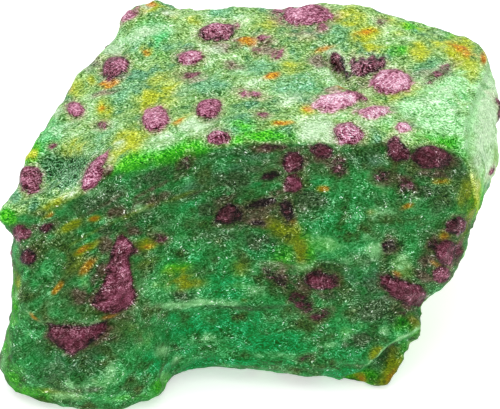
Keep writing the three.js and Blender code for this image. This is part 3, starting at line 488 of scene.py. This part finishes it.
class Surface:
    """The vertices of the stone's mesh in mm, with what is asked of them again and again."""

    def __init__(self, mesh):
        self.mesh = mesh
        self.read()
        edges = np.empty(2 * len(mesh.edges), np.int32)
        mesh.edges.foreach_get("vertices", edges)
        self.edges = edges.reshape(-1, 2)
        self.valence = np.bincount(self.edges.ravel(), minlength=len(self.points))[:, None]

    def read(self):
        count = len(self.mesh.vertices)
        flat = np.empty(3 * count, np.float32)
        self.mesh.vertices.foreach_get("co", flat)
        self.points = flat.reshape(-1, 3).astype(float) * METRE
        self.mesh.vertices.foreach_get("normal", flat)
        self.normals = flat.reshape(-1, 3).astype(float)

    def write(self):
        flat = (self.points / METRE).astype(np.float32).ravel()
        self.mesh.vertices.foreach_set("co", flat)
        self.mesh.update()

    def averaged(self, values):
        """Every vertex's value as the mean of its neighbours' values."""
        total = np.zeros_like(values)
        for column in range(values.shape[1]):
            for a, b in ((0, 1), (1, 0)):
                total[:, column] += np.bincount(
                    self.edges[:, a], weights=values[self.edges[:, b], column], minlength=len(values))
        return total / self.valence

    def smooth(self, rounds):
        for _ in range(rounds):
            self.points = 0.5 * self.points + 0.5 * self.averaged(self.points)

    def look(self):
        """Notes which way each place faces, how far it faces the camera, and where that sees it."""
        broad = self.normals
        for _ in range(BROAD_ROUNDS):
            broad = self.averaged(broad)
        self.broad = broad / np.linalg.norm(broad, axis=1)[:, None]
        view = EYE - self.points
        self.seen = (self.broad * view).sum(axis=1) / np.linalg.norm(view, axis=1)
        self.places = to_pixels(self.points)
        self.top = smoothstep(*FACES_UP, self.broad[:, 2])
        self.right = (1.0 - self.top) * smoothstep(*FACES_RIGHT, self.broad[:, 0])

    def by_sight(self, shown, hidden):
        """One set of values where the camera sees the surface, and another elsewhere."""
        share = smoothstep(*SEEN, self.seen)
        return share * shown + (1.0 - share) * hidden


def fine_copy(node):
    """A voxel-remeshed copy of a CAD node, fine enough to carry the rock's small relief."""
    mesh = node.data.copy()
    mesh.name = "ruby_in_fuchsite"
    piece = bpy.data.objects.new("ruby_in_fuchsite", mesh)
    bpy.context.scene.collection.objects.link(piece)
    remesh = piece.modifiers.new("remesh", "REMESH")
    remesh.mode = "VOXEL"
    remesh.voxel_size = VOXEL / METRE
    bpy.context.view_layer.update()
    evaluated = piece.evaluated_get(bpy.context.evaluated_depsgraph_get())
    fine = bpy.data.meshes.new_from_object(evaluated)
    piece.modifiers.clear()
    piece.data = fine
    bpy.data.meshes.remove(mesh)
    return piece


def grain_frames(points):
    """Places along the grain (first), and across it, on the front, the top and the right face."""
    x, y, z = points.T
    front = np.column_stack([x, y, z + 0.5 * GRAIN_ARCH * (x - GRAIN_CREST) ** 2])
    c, s = math.cos(TOP_GRAIN), math.sin(TOP_GRAIN)
    top = np.column_stack([c * x + s * y, c * y - s * x, z])
    right = np.column_stack([z, y, x])
    return front, top, right


def bright_side(surface):
    """1 on the paler top and right faces, painted lit, 0 on the darker front and below, painted in shade.
    """
    across, down = zip(*RIDGE)
    above = np.interp(surface.places[:, 0], across, down) - surface.places[:, 1]
    hidden = np.maximum(smoothstep(*LIT_AND_PALE_UP, surface.broad[:, 2]),
                        smoothstep(*LIT_AND_PALE_RIGHT, surface.broad[:, 0]))
    return surface.by_sight(smoothstep(-RIDGE_BLUR, RIDGE_BLUR, above), hidden)


def right_side(surface):
    """1 on the right face: beyond the corner where the camera sees it, by its slope elsewhere."""
    across, down = zip(*CORNER)
    beyond = surface.places[:, 0] - np.interp(surface.places[:, 1], down, across)
    return surface.by_sight(smoothstep(-RIDGE_BLUR, RIDGE_BLUR, beyond), surface.right)


def paint_rubies(surface, rng):
    """How deep each vertex is inside a ruby, in mm (negative outside), and that ruby's tone."""
    points, places, seen = surface.points, surface.places, surface.seen
    depth = np.full(len(points), NO_RUBY)
    tone = np.zeros(len(points))

    def lay(there, inside, shade):
        deeper = there & (inside > depth)
        depth[deeper] = inside[deeper]
        tone[deeper] = shade / 100.0

    faces_camera = seen > RUBIES_SEEN
    for listed, deepest in ((VEILED_RUBIES, VEIL), (RUBIES, np.inf)):
        for x, y, width, height, shade, *turn in listed:
            inside = 1.0 - pixel_radius(places, x, y, width, height, *turn)
            inside *= 0.5 * min(width, height) * MM_PER_PIXEL
            lay(faces_camera, np.minimum(inside, deepest), shade)
    for shade, corners in RUBY_OUTLINES:
        lay(faces_camera, outline_depth(places, corners) * MM_PER_PIXEL, shade)
    wobble = WOBBLE * field(points, WOBBLE_SIZE, 7, 2)
    faces_away = seen < 0.0
    hidden = np.flatnonzero(faces_away)
    for _ in range(SMALL_RUBIES):
        centre = points[rng.choice(hidden)]
        radius = rng.uniform(*SMALL_RADII)
        offset = (points - centre) / rng.uniform(*SMALL_STRETCH, 3)
        deepest = rng.choice([VEIL, 2.0 * VEIL, np.inf])
        inside = np.minimum(radius - np.linalg.norm(offset, axis=1) + wobble, deepest)
        lay(faces_away, inside, rng.uniform(*SMALL_TONES))
    for side, listed in HIDDEN_RUBIES.items():
        out, level, rise = (np.array(v, float) for v in SIDES[side])
        there = (surface.broad @ out > ON_SIDE) & (faces_away | (side == "right"))
        for across, up, width, height, shade, *turn in listed:
            offset = np.column_stack([points @ level - across, points @ rise - up])
            inside = (1.0 - ellipse_radius(offset, width, height, *turn)) * 0.5 * min(width, height)
            lay(there, inside + wobble, shade)
    return depth, tone


def paint_stains(surface, rng):
    """Weights of each kind of stain, and of the painted glints, 0 to 1: as listed where the camera sees,
    scattered elsewhere.
    """
    points = surface.points
    hidden = np.flatnonzero(surface.seen < 0.0)
    weights = {}
    for kind, patches in STAINS.items():
        shown = np.zeros(len(points))
        for x, y, width, height, strength, *turn in patches:
            radius = pixel_radius(surface.places, x, y, width, height, *turn)
            shown = np.maximum(shown, strength * bump(radius, width=STAIN_REACH))
        scattered = np.zeros(len(points))
        count, size = SCATTERED[kind]
        for _ in range(count):
            centre = points[rng.choice(hidden)]
            radius = rng.uniform(*SCATTERED_RADII)
            reach = size * radius * np.array([rng.uniform(*SCATTERED_STRETCH), *SCATTERED_DEPTH])
            strength = rng.uniform(*SCATTERED_STRENGTH)
            apart = np.linalg.norm((points - centre) / reach, axis=1)
            scattered = np.maximum(scattered, strength * bump(apart))
        weights[kind] = surface.by_sight(shown, scattered) / 100.0
    return weights


def rock_relief(points, top, right):
    """The rock's own layers, lumps, crumbs, scales and chips, in mm."""
    frames = grain_frames(points)
    front, above, side = (1.0 - 2.0 * np.abs(field(grain, LAYER_SIZE, 3, 2)) for grain in frames)
    layers = (1.0 - right) * ((1.0 - top) * front + top * above) + right * side
    return (LAYER_HEIGHT * (layers - 0.5)
            + LUMP_HEIGHT * field(points, LUMP_SIZE, 1, 2)
            + CRUMB_HEIGHT * field(points, CRUMB_SIZE, 2, 3)
            + SCALE_HEIGHT * chips(frames[0], SCALE_SIZE, 1)
            + CHIP_HEIGHT * chips(points, CHIP_SIZE, 2))


def ruby_relief(points, on_top, ruby):
    """How far rubies stand out, with facets of their own and a groove round them, in mm."""
    stands, facets = (np.where(on_top, top, front) for front, top in (RUBY_HEIGHT, FACET_HEIGHT))
    return (stands * smoothstep(*RUBY_RISE, ruby)
            + facets * smoothstep(*FACET_RISE, ruby) * chips(points, FACET_SIZE, 5)
            - MOAT_DEPTH * bump(ruby, -MOAT_PLACE, MOAT_WIDTH))


def break_relief(places, corners, lip, drop, width):
    """A lip along a broken edge and the hollow below it, in mm."""
    nearest = np.full(len(places), np.inf)
    below = np.zeros(len(places))
    for start, end in zip(corners, corners[1:]):
        distance, side = line_distance(places, start, end)
        closer = distance < nearest
        nearest[closer] = distance[closer]
        below[closer] = np.sign(side[closer])
    if corners[0][0] > corners[-1][0]:  # the line runs from right to left
        below = -below
    across = below * nearest * MM_PER_PIXEL / width
    return lip * bump(across, LIP_PLACE, LIP_WIDTH) - drop * bump(across, DROP_PLACE, DROP_WIDTH)


def relief(surface, ruby):
    """How far each vertex stands out of the CAD surface, in mm."""
    height = rock_relief(surface.points, surface.top, surface.right)
    height += ruby_relief(surface.points, surface.top > 0.5, ruby)
    near = smoothstep(*SWELLS_SEEN, surface.seen)
    for x, y, width, length, out, *turn in SWELLS:
        radius = pixel_radius(surface.places, x, y, width, length, *turn)
        height += out * near * bump(radius, width=SWELL_REACH)
    facing = smoothstep(*BREAKS_SEEN, surface.seen)
    for broken_edge in BREAKS:
        height += facing * break_relief(surface.places, *broken_edge)
    under = smoothstep(*FACES_DOWN, surface.broad[:, 2])
    return (1.0 - under) * height + under * np.minimum(height, 0.0)


def shape_and_paint(piece, lowest, highest):
    """Adds the rock's small relief to the remeshed stone and keeps its markings as vertex attributes."""
    surface = Surface(piece.data)
    surface.smooth(SOFTEN_ROUNDS)
    surface.write()
    surface.read()
    surface.look()
    rng = np.random.default_rng(SEED)
    ruby, tone = paint_rubies(surface, rng)
    markings = paint_stains(surface, rng)
    # The last of these markings says where the paler top is painted lit and the darker front painted in
    # shade.
    markings.update(ruby=ruby, tone=tone, top=surface.top, right=right_side(surface),
                    bright=bright_side(surface))

    surface.points = surface.points + relief(surface, ruby)[:, None] * surface.normals
    surface.smooth(SETTLE_ROUNDS)
    surface.points = np.clip(surface.points, lowest, highest)
    surface.write()
    piece.data.shade_smooth()
    for name, values in markings.items():
        attribute = piece.data.attributes.new(name, "FLOAT", "POINT")
        attribute.data.foreach_set("value", values.astype(np.float32))


def colour(shade):
    """A colour given in sRGB 0-255, as Blender's linear RGBA."""
    parts = (v / 255.0 for v in shade)
    return (*(v / 12.92 if v <= 0.04045 else ((v + 0.055) / 1.055) ** 2.4 for v in parts), 1.0)


class Graph:
    """A material's shader nodes, made and wired by short calls."""

    def __init__(self, name):
        self.material = bpy.data.materials.new(name)
        self.material.use_nodes = True
        self.tree = self.material.node_tree
        self.tree.nodes.clear()

    def node(self, kind, inputs, **settings):
        made = self.tree.nodes.new("ShaderNode" + kind)
        for key, value in settings.items():
            setattr(made, key, value)
        for socket, value in inputs.items():
            if isinstance(value, bpy.types.NodeSocket):
                self.tree.links.new(value, made.inputs[socket])
            else:
                made.inputs[socket].default_value = value
        return made

    def attribute(self, name):
        return self.node("Attribute", {}, attribute_name=name).outputs["Fac"]

    def math(self, operation, a, b=0.0, c=0.0):
        return self.node("Math", {0: a, 1: b, 2: c}, operation=operation).outputs[0]

    def vector(self, operation, a, b, c=(0.0, 0.0, 0.0)):
        return self.node("VectorMath", {0: a, 1: b, 2: c}, operation=operation).outputs[0]

    def add(self, a, b):
        return self.math("ADD", a, b)

    def subtract(self, a, b):
        return self.math("SUBTRACT", a, b)

    def multiply(self, a, b, plus=0.0):
        """a times b, plus a third value."""
        return self.math("MULTIPLY_ADD", a, b, plus)

    def larger(self, a, b):
        return self.math("MAXIMUM", a, b)

    def step(self, low, high, value):
        """0 below low, 1 above high, smooth between them."""
        made = self.node("MapRange", {"Value": value, "From Min": low, "From Max": high},
                         interpolation_type="SMOOTHSTEP")
        return made.outputs["Result"]

    def blend(self, factor, a, b):
        """A number that goes from a to b."""
        return self.node("Mix", {0: factor, 2: a, 3: b}, data_type="FLOAT").outputs[0]

    def choose(self, factor, a, b):
        """A vector that goes from a to b."""
        return self.node("Mix", {0: factor, 4: a, 5: b}, data_type="VECTOR").outputs[1]

    def mix(self, factor, a, b):
        """A colour that goes from a to b, each a socket or in sRGB 0-255."""
        a, b = (colour(v) if isinstance(v, tuple) else v for v in (a, b))
        return self.node("Mix", {0: factor, 6: a, 7: b}, data_type="RGBA").outputs[2]

    def ramp(self, value, stops):
        """A colour looked up by a value, from (place, colour) stops."""
        made = self.node("ValToRGB", {"Fac": value})
        elements = made.color_ramp.elements
        while len(elements) < len(stops):
            elements.new(0.5)
        for element, (place, shade) in zip(elements, stops):
            element.position = place
            element.color = colour(shade)
        return made.outputs["Color"]

    def noise(self, vector, scale, detail):
        return self.node("TexNoise", {"Vector": vector, "Scale": scale, "Detail": detail}).outputs["Fac"]

    def cells(self, vector, scale):
        """Voronoi cells: the distance from each one's middle, and a random value for each."""
        made = self.node("TexVoronoi", {"Vector": vector, "Scale": scale}, feature="F1")
        chance = self.node("SeparateColor", {0: made.outputs["Color"]}).outputs[0]
        return made.outputs["Distance"], chance

    def principled(self, inputs):
        """Ends the material in a Principled shader."""
        shader = self.node("BsdfPrincipled", inputs)
        self.node("OutputMaterial", {"Surface": shader.outputs[0]})
        return self.material


# The rock's own colours, by a noise that runs from one to the other: on the paler top in painted light, and
# on the darker front in painted shade.
LIT_PALE_ROCK = [(0.3, (82, 146, 100)), (0.42, (106, 158, 84)), (0.52, (128, 172, 88)),
            (0.62, (142, 192, 114)), (0.74, (178, 224, 156))]
SHADED_DARK_ROCK = [(0.3, (64, 92, 36)), (0.42, (54, 106, 48)), (0.52, (44, 126, 58)),
             (0.62, (48, 146, 70)), (0.74, (94, 172, 88))]
# Each kind of stain: its colour where the rock is darker and in painted shade, and where it is paler and in
# painted light.
STAIN_COLOURS = {
    "teal": ((54, 98, 68), (96, 168, 116)),
    "emerald": ((0, 132, 58), (66, 182, 92)),
    # The vivid kind: bright green rock, and also painted rim light along the edges.
    "vivid": ((44, 150, 6), (50, 172, 0)),
    # The dark kind: the rock's own dark green, and also painted shade in the hollow, under ledges and lips
    # and in the overhang.
    "dark_and_shade": ((44, 76, 36), (40, 104, 48)),
    # The plum kind: a purple-brown tint of the rock, and also painted shade under a ledge and in the
    # overhang.
    "plum": ((72, 66, 44), (122, 112, 90)),
    # The yellow kind: yellow in the rock, and also painted rim light along the edges.
    "yellow": ((104, 124, 0), (166, 182, 22)),
    "mint": ((110, 180, 112), (156, 224, 150)),
    # The pale kind: pale mica, and also painted highlights on the ridge, ledges and lips and painted rim
    # light along the edges.
    "pale": ((124, 190, 122), (188, 224, 176)),
    "orange": ((140, 104, 0), (192, 128, 0)),
}
STAIN_EDGE = (0.04, 0.76)  # the strengths between which a stain sets in
RUBY = [(0.0, (30, 20, 16)), (0.25, (82, 36, 46)), (0.42, (122, 58, 78)),
        (0.6, (164, 92, 120)), (0.8, (212, 148, 172)), (1.0, (244, 200, 220))]
RING_COLOUR = ((84, 58, 40), (176, 158, 130))  # of the rock round a ruby: darker in painted shade, paler in painted light
RUBY_EDGE, RING_EDGE, RIM = (-0.25, 0.3), (-0.8, -0.2), (0.1, 0.9)  # depths in mm
RIM_SHADE = 0.2  # how much darker a ruby is at its rim

# Noises, by how many of their features fit in about a mm, from patches of colour to single strands.
PATCHES, CLOUDS, COARSE, MIDDLE, FINE = 0.2, 0.45, 0.5, 1.3, 6.5
FIBRES, DASHES, FACETS, CLUSTERS = 2.9, 4.2, 0.8, 0.4
WAVES, WAVE_REACH = 0.7, (1.6, 1.6, 1.6)  # bend the fibres, by this many mm
STROKE_TURNS = ((0.0, 0.4, -0.35), (0.2, -0.45, 0.5), (0.0, 0.1, 0.1))  # how three sets of mica fibres lie
STROKE_STARTS = (0.0, 0.43, 0.57)  # from which value of a slow noise each set takes over
STROKE_SHAPE = (0.32, 1.0, 1.0)
FIBRE_WIDTH = 0.18  # in the noise's own values, from its middle
STRAND_EDGE, GAP_EDGE = (0.7, 1.0), (0.35, 0.0)  # which fibres are bright strands, and dark gaps
DASH_EDGE, DASH_RARITY = (0.38, 0.16), 1.6  # a high power leaves few dashes bright

# Shares and steps of lightness, first for the darker front in painted shade and then for the paler top in
# painted light.
RING_SHARE, TONE_SHIFT = (0.35, 0.3), (0.02, 0.04)
CONTRAST, GAP_SHADE, EVEN_OUT = (0.16, 0.4), (-0.02, -0.06), (-0.026, 0.015)
# Light from dashes and strands of mica on the front, first where few glitter and then in clusters.
DASH_LIGHT, STRAND_LIGHT = (0.27, 1.0), (0.07, 0.3)
CLUSTER_EDGE, GLINTING_CLUSTERS = (0.4, 0.85), 0.25
# What grows with the attribute "glint": by how much at its full strength, and from what without it.
GLINTING_STRANDS, GLINTING_DASHES = (0.25, 0.16), (0.6, 0.45)
GLINTING_CONTRAST, GLINTING_DRIFT = (0.35, 1.0), (1.1, 0.2)
# What is left of the steps on pale rock and on rubies, and from where to where pale rock is calm.
CALM, RUBY_CALM, CALM_EDGE, YELLOW_CALM = 0.5, 0.95, (0.1, 0.9), 0.5
DISPLAY_GAMMA = 2.2  # lightness steps are taken as a display shows them
DARKEST, LIGHTEST = (0.03, 0.03, 0.03), (0.98, 0.99, 0.98)
BUMP_STRENGTH, BUMP_HEIGHT = 0.6, 0.3
ROCK_ROUGHNESS, RUBY_ROUGHNESS = (0.35, 0.75), 0.38  # the rock's is first between fibres, then on them
SPECULAR = 0.12


class StoneMaterial(Graph):
    """Green mica rock and its rubies, from the attributes that shape_and_paint left on the mesh."""

    def __init__(self):
        super().__init__("ruby_in_fuchsite")
        place = self.node("TexCoord", {}).outputs["Object"]
        self.mm = self.node("VectorMath", {0: place, "Scale": METRE}, operation="SCALE").outputs[0]
        # The third of these attributes marks where the paler top is painted lit and the darker front
        # painted in shade.
        self.top, self.right, self.bright, self.glint = map(
            self.attribute, ("top", "right", "bright", "glint"))
        self.bend_grain()
        broad, fine = self.grain(TOP_GRAIN, DRAWN_OUT), self.grain(STRAND_TURN, FINE_DRAWN_OUT)
        self.patches = self.noise(self.mm, PATCHES, 2.0)
        self.clouds = self.noise(self.mm, CLOUDS, 2.0)
        self.coarse = self.grained(broad, COARSE, 2.0)
        self.middle = self.grained(broad, MIDDLE, 2.0)
        self.fine = self.grained(fine, FINE, 0.0)
        self.strokes(fine[2])
        shades = self.lighten(self.rubies(self.rock()))
        height = self.about(0.5, coarse=0.4, middle=0.7, fine=0.7, fibres=0.25)
        relief = self.node("Bump", {"Strength": BUMP_STRENGTH, "Distance": BUMP_HEIGHT / METRE,
                                    "Height": height})
        rock_roughness = self.blend(self.fibres, *ROCK_ROUGHNESS)
        self.principled({
            "Base Color": shades, "Normal": relief.outputs[0], "Specular IOR Level": SPECULAR,
            "Roughness": self.blend(self.is_ruby, rock_roughness, RUBY_ROUGHNESS),
        })

    def about(self, base, **shares):
        """A base plus each named noise's departure from 0.5, times its share."""
        total = base - 0.5 * sum(shares.values())
        for name, share in shares.items():
            total = self.multiply(getattr(self, name), share, total)
        return total

    def on_both(self, pair):
        """The first of two numbers on the darker front in painted shade, and the second on the paler top in
        painted light.
        """
        return self.blend(self.bright, *pair)

    def glinting(self, pair):
        """The first of two numbers times the glint's strength, plus the second."""
        return self.multiply(self.glint, *pair)

    def bend_grain(self):
        """Makes self.bent, the place in mm bent so that the front's grain runs level in it."""
        split = self.node("SeparateXYZ", {0: self.mm})
        x, y, z = (split.outputs[axis] for axis in "XYZ")
        off_crest = self.subtract(x, GRAIN_CREST)
        arch = self.multiply(self.multiply(off_crest, off_crest), 0.5 * GRAIN_ARCH, z)
        self.bent = self.node("CombineXYZ", {0: x, 1: y, 2: arch}).outputs[0]

    def grain(self, angle, drawn_out):
        """Places drawn out along the grain: level on the front and the top, upright on the right."""
        spun = self.node("VectorRotate", {"Vector": self.mm, "Angle": -angle}, rotation_type="Z_AXIS")
        level, upright = (drawn_out, 1.0, 1.0), (1.0, 1.0, drawn_out)
        return [self.vector("MULTIPLY", vector, scale) for vector, scale in (
            (self.bent, level), (spun.outputs[0], level), (self.mm, upright))]

    def grained(self, vectors, scale, detail):
        front, level, side = (self.noise(v, scale, detail) for v in vectors)
        return self.blend(self.right, self.blend(self.top, front, level), side)

    def strokes(self, upright):
        """Mica fibres and dashes that catch the light, lying another way from place to place."""
        wave = self.node("TexNoise", {"Vector": self.mm, "Scale": WAVES, "Detail": 1.0}).outputs["Color"]
        self.waved = self.vector("MULTIPLY_ADD", wave, WAVE_REACH, self.mm)
        region = self.noise(self.mm, CLOUDS, 1.0)
        lying = self.waved
        for turn, start in zip(STROKE_TURNS, STROKE_STARTS):
            laid = self.node("VectorRotate", {"Vector": self.waved, "Rotation": turn},
                             rotation_type="EULER_XYZ")
            drawn = self.vector("MULTIPLY", laid.outputs[0], STROKE_SHAPE)
            lying = self.choose(self.math("GREATER_THAN", region, start), lying, drawn)
        lying = self.choose(self.right, lying, upright)
        crease = self.math("ABSOLUTE", self.subtract(self.noise(lying, FIBRES, 0.0), 0.5))
        sharp = self.node("MapRange", {"Value": crease, "From Min": FIBRE_WIDTH, "From Max": 0.0})
        self.fibres = sharp.outputs["Result"]
        distance, chance = self.cells(lying, DASHES)
        self.dash = self.multiply(self.step(*DASH_EDGE, distance), self.math("POWER", chance, DASH_RARITY))

    def rock(self):
        """Soft-edged patches: the rock's own run of colours, then the stains over it, each paler and
        painted lit on the top, darker and painted in shade on the front.
        """
        hue = self.about(0.5, patches=1.0, clouds=0.45, coarse=0.2)
        shades = self.mix(self.bright, self.ramp(hue, SHADED_DARK_ROCK), self.ramp(hue, LIT_PALE_ROCK))
        ragged = self.about(1.0, clouds=2.4, coarse=1.2, middle=0.7)
        for kind, both in STAIN_COLOURS.items():
            there = self.step(*STAIN_EDGE, self.multiply(self.attribute(kind), ragged))
            shades = self.mix(there, shades, self.mix(self.bright, *both))
        return shades

    def rubies(self, rock):
        """A dark rim, a ring of its own colour in the rock round it, and facets of a ruby's own tone."""
        edge = self.about(0.0, coarse=0.8, middle=0.8, fine=0.2)
        depth = self.add(self.attribute("ruby"), edge)
        self.is_ruby = self.step(*RUBY_EDGE, depth)
        ring = self.multiply(self.step(*RING_EDGE, depth), self.on_both(RING_SHARE))
        rock = self.mix(ring, rock, self.mix(self.bright, *RING_COLOUR))
        _, self.facet = self.cells(self.mm, FACETS)
        own = self.about(0.0, facet=0.08, coarse=0.32, middle=0.4)
        tone = self.add(self.add(self.attribute("tone"), own), self.on_both(TONE_SHIFT))
        rim = self.subtract(1.0, self.step(*RIM, depth))
        tone = self.multiply(rim, -RIM_SHADE, tone)
        return self.mix(self.is_ruby, rock, self.ramp(tone, RUBY))

    def glitter(self):
        """Light from the mica: sparse or in clusters on the front, dense on the top."""
        self.clusters = self.noise(self.waved, CLUSTERS, 2.0)
        cluster = self.multiply(self.glint, GLINTING_CLUSTERS, self.about(0.5, clusters=2.2, middle=1.0))
        clustered = self.step(*CLUSTER_EDGE, cluster)
        strand = self.step(*STRAND_EDGE, self.fibres)
        sparse = self.larger(self.multiply(self.dash, self.blend(clustered, *DASH_LIGHT)),
                             self.multiply(strand, self.blend(clustered, *STRAND_LIGHT)))
        dense = self.larger(self.multiply(self.dash, self.glinting(GLINTING_DASHES)),
                            self.multiply(strand, self.glinting(GLINTING_STRANDS)))
        return self.on_both((sparse, dense))

    def lighten(self, shades):
        """The shades with light and dark added over them, in steps as a display shows them."""
        grain = self.about(0.0, clouds=0.3, coarse=0.5, middle=0.7, fine=2.0, fibres=0.5)
        contrast = self.multiply(self.on_both(CONTRAST), self.glinting(GLINTING_CONTRAST))
        light = self.multiply(grain, contrast, self.glitter())
        light = self.add(light, self.on_both(EVEN_OUT))
        drift = self.about(0.0, clouds=0.3, coarse=0.16, middle=0.12)
        drift = self.multiply(drift, self.glinting(GLINTING_DRIFT))
        light = self.add(light, self.blend(self.larger(self.bright, self.is_ruby), drift, 0.0))
        gap = self.step(*GAP_EDGE, self.fibres)
        light = self.multiply(gap, self.on_both(GAP_SHADE), light)
        calm = self.larger(self.step(*CALM_EDGE, self.attribute("pale")), self.right)
        calm = self.larger(calm, self.multiply(self.attribute("yellow"), YELLOW_CALM))
        left = self.blend(self.is_ruby, self.blend(calm, 1.0, CALM), RUBY_CALM)
        light = self.multiply(light, left)
        shades = self.node("Gamma", {0: shades, 1: 1.0 / DISPLAY_GAMMA}).outputs[0]
        lit = self.node("CombineXYZ", {0: light, 1: light, 2: light}).outputs[0]
        shades = self.vector("ADD", shades, lit)
        shades = self.vector("MINIMUM", self.vector("MAXIMUM", shades, DARKEST), LIGHTEST)
        return self.node("Gamma", {0: shades, 1: DISPLAY_GAMMA}).outputs[0]


def floor_material():
    """Near-white paper that glows a little, as a backdrop lit from below does."""
    return Graph("pale_floor").principled({
        "Base Color": colour(FLOOR_COLOUR), "Roughness": FLOOR_ROUGHNESS, "Specular IOR Level": 0.1,
        "Emission Color": WHITE, "Emission Strength": FLOOR_GLOW,
    })


def make_camera():
    camera = bpy.data.objects.new("camera", bpy.data.cameras.new("camera"))
    camera.data.lens = LENS
    camera.data.sensor_width = SENSOR
    camera.data.clip_start, camera.data.clip_end = NEAR, FAR
    camera.location = Vector(EYE / METRE)
    camera.rotation_euler = (math.pi / 2 - ELEVATION, 0.0, 0.0)
    bpy.context.scene.collection.objects.link(camera)
    bpy.context.scene.camera = camera


def make_studio():
    """A plain pale floor, a soft square key light from above, and pale surroundings."""
    bpy.ops.mesh.primitive_plane_add(size=FLOOR_SIZE, location=(0.0, 0.0, -FLOOR_DROP))
    floor = bpy.context.object
    floor.name = "floor"
    floor.data.materials.append(floor_material())
    light = bpy.data.lights.new("key", "AREA")
    light.size = KEY_SIZE
    light.energy = KEY_WATTS
    lamp = bpy.data.objects.new("key", light)
    lamp.location = KEY_PLACE
    lamp.rotation_euler = (KEY_TARGET - KEY_PLACE).to_track_quat("-Z", "Y").to_euler()
    bpy.context.scene.collection.objects.link(lamp)
    world = bpy.data.worlds.new("studio")
    world.use_nodes = True
    sky = world.node_tree.nodes["Background"].inputs
    sky["Color"].default_value = WHITE
    sky["Strength"].default_value = SURROUNDINGS
    bpy.context.scene.world = world
    bpy.context.scene.view_settings.view_transform = "Standard"


make_camera()
make_studio()
stone = fine_copy(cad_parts["stone"])
lowest, highest = (np.array(corner) * METRE for corner in cad_box)
shape_and_paint(stone, lowest, highest)
stone.data.materials.clear()
stone.data.materials.append(StoneMaterial().material)
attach(stone, "root")
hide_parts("stone")
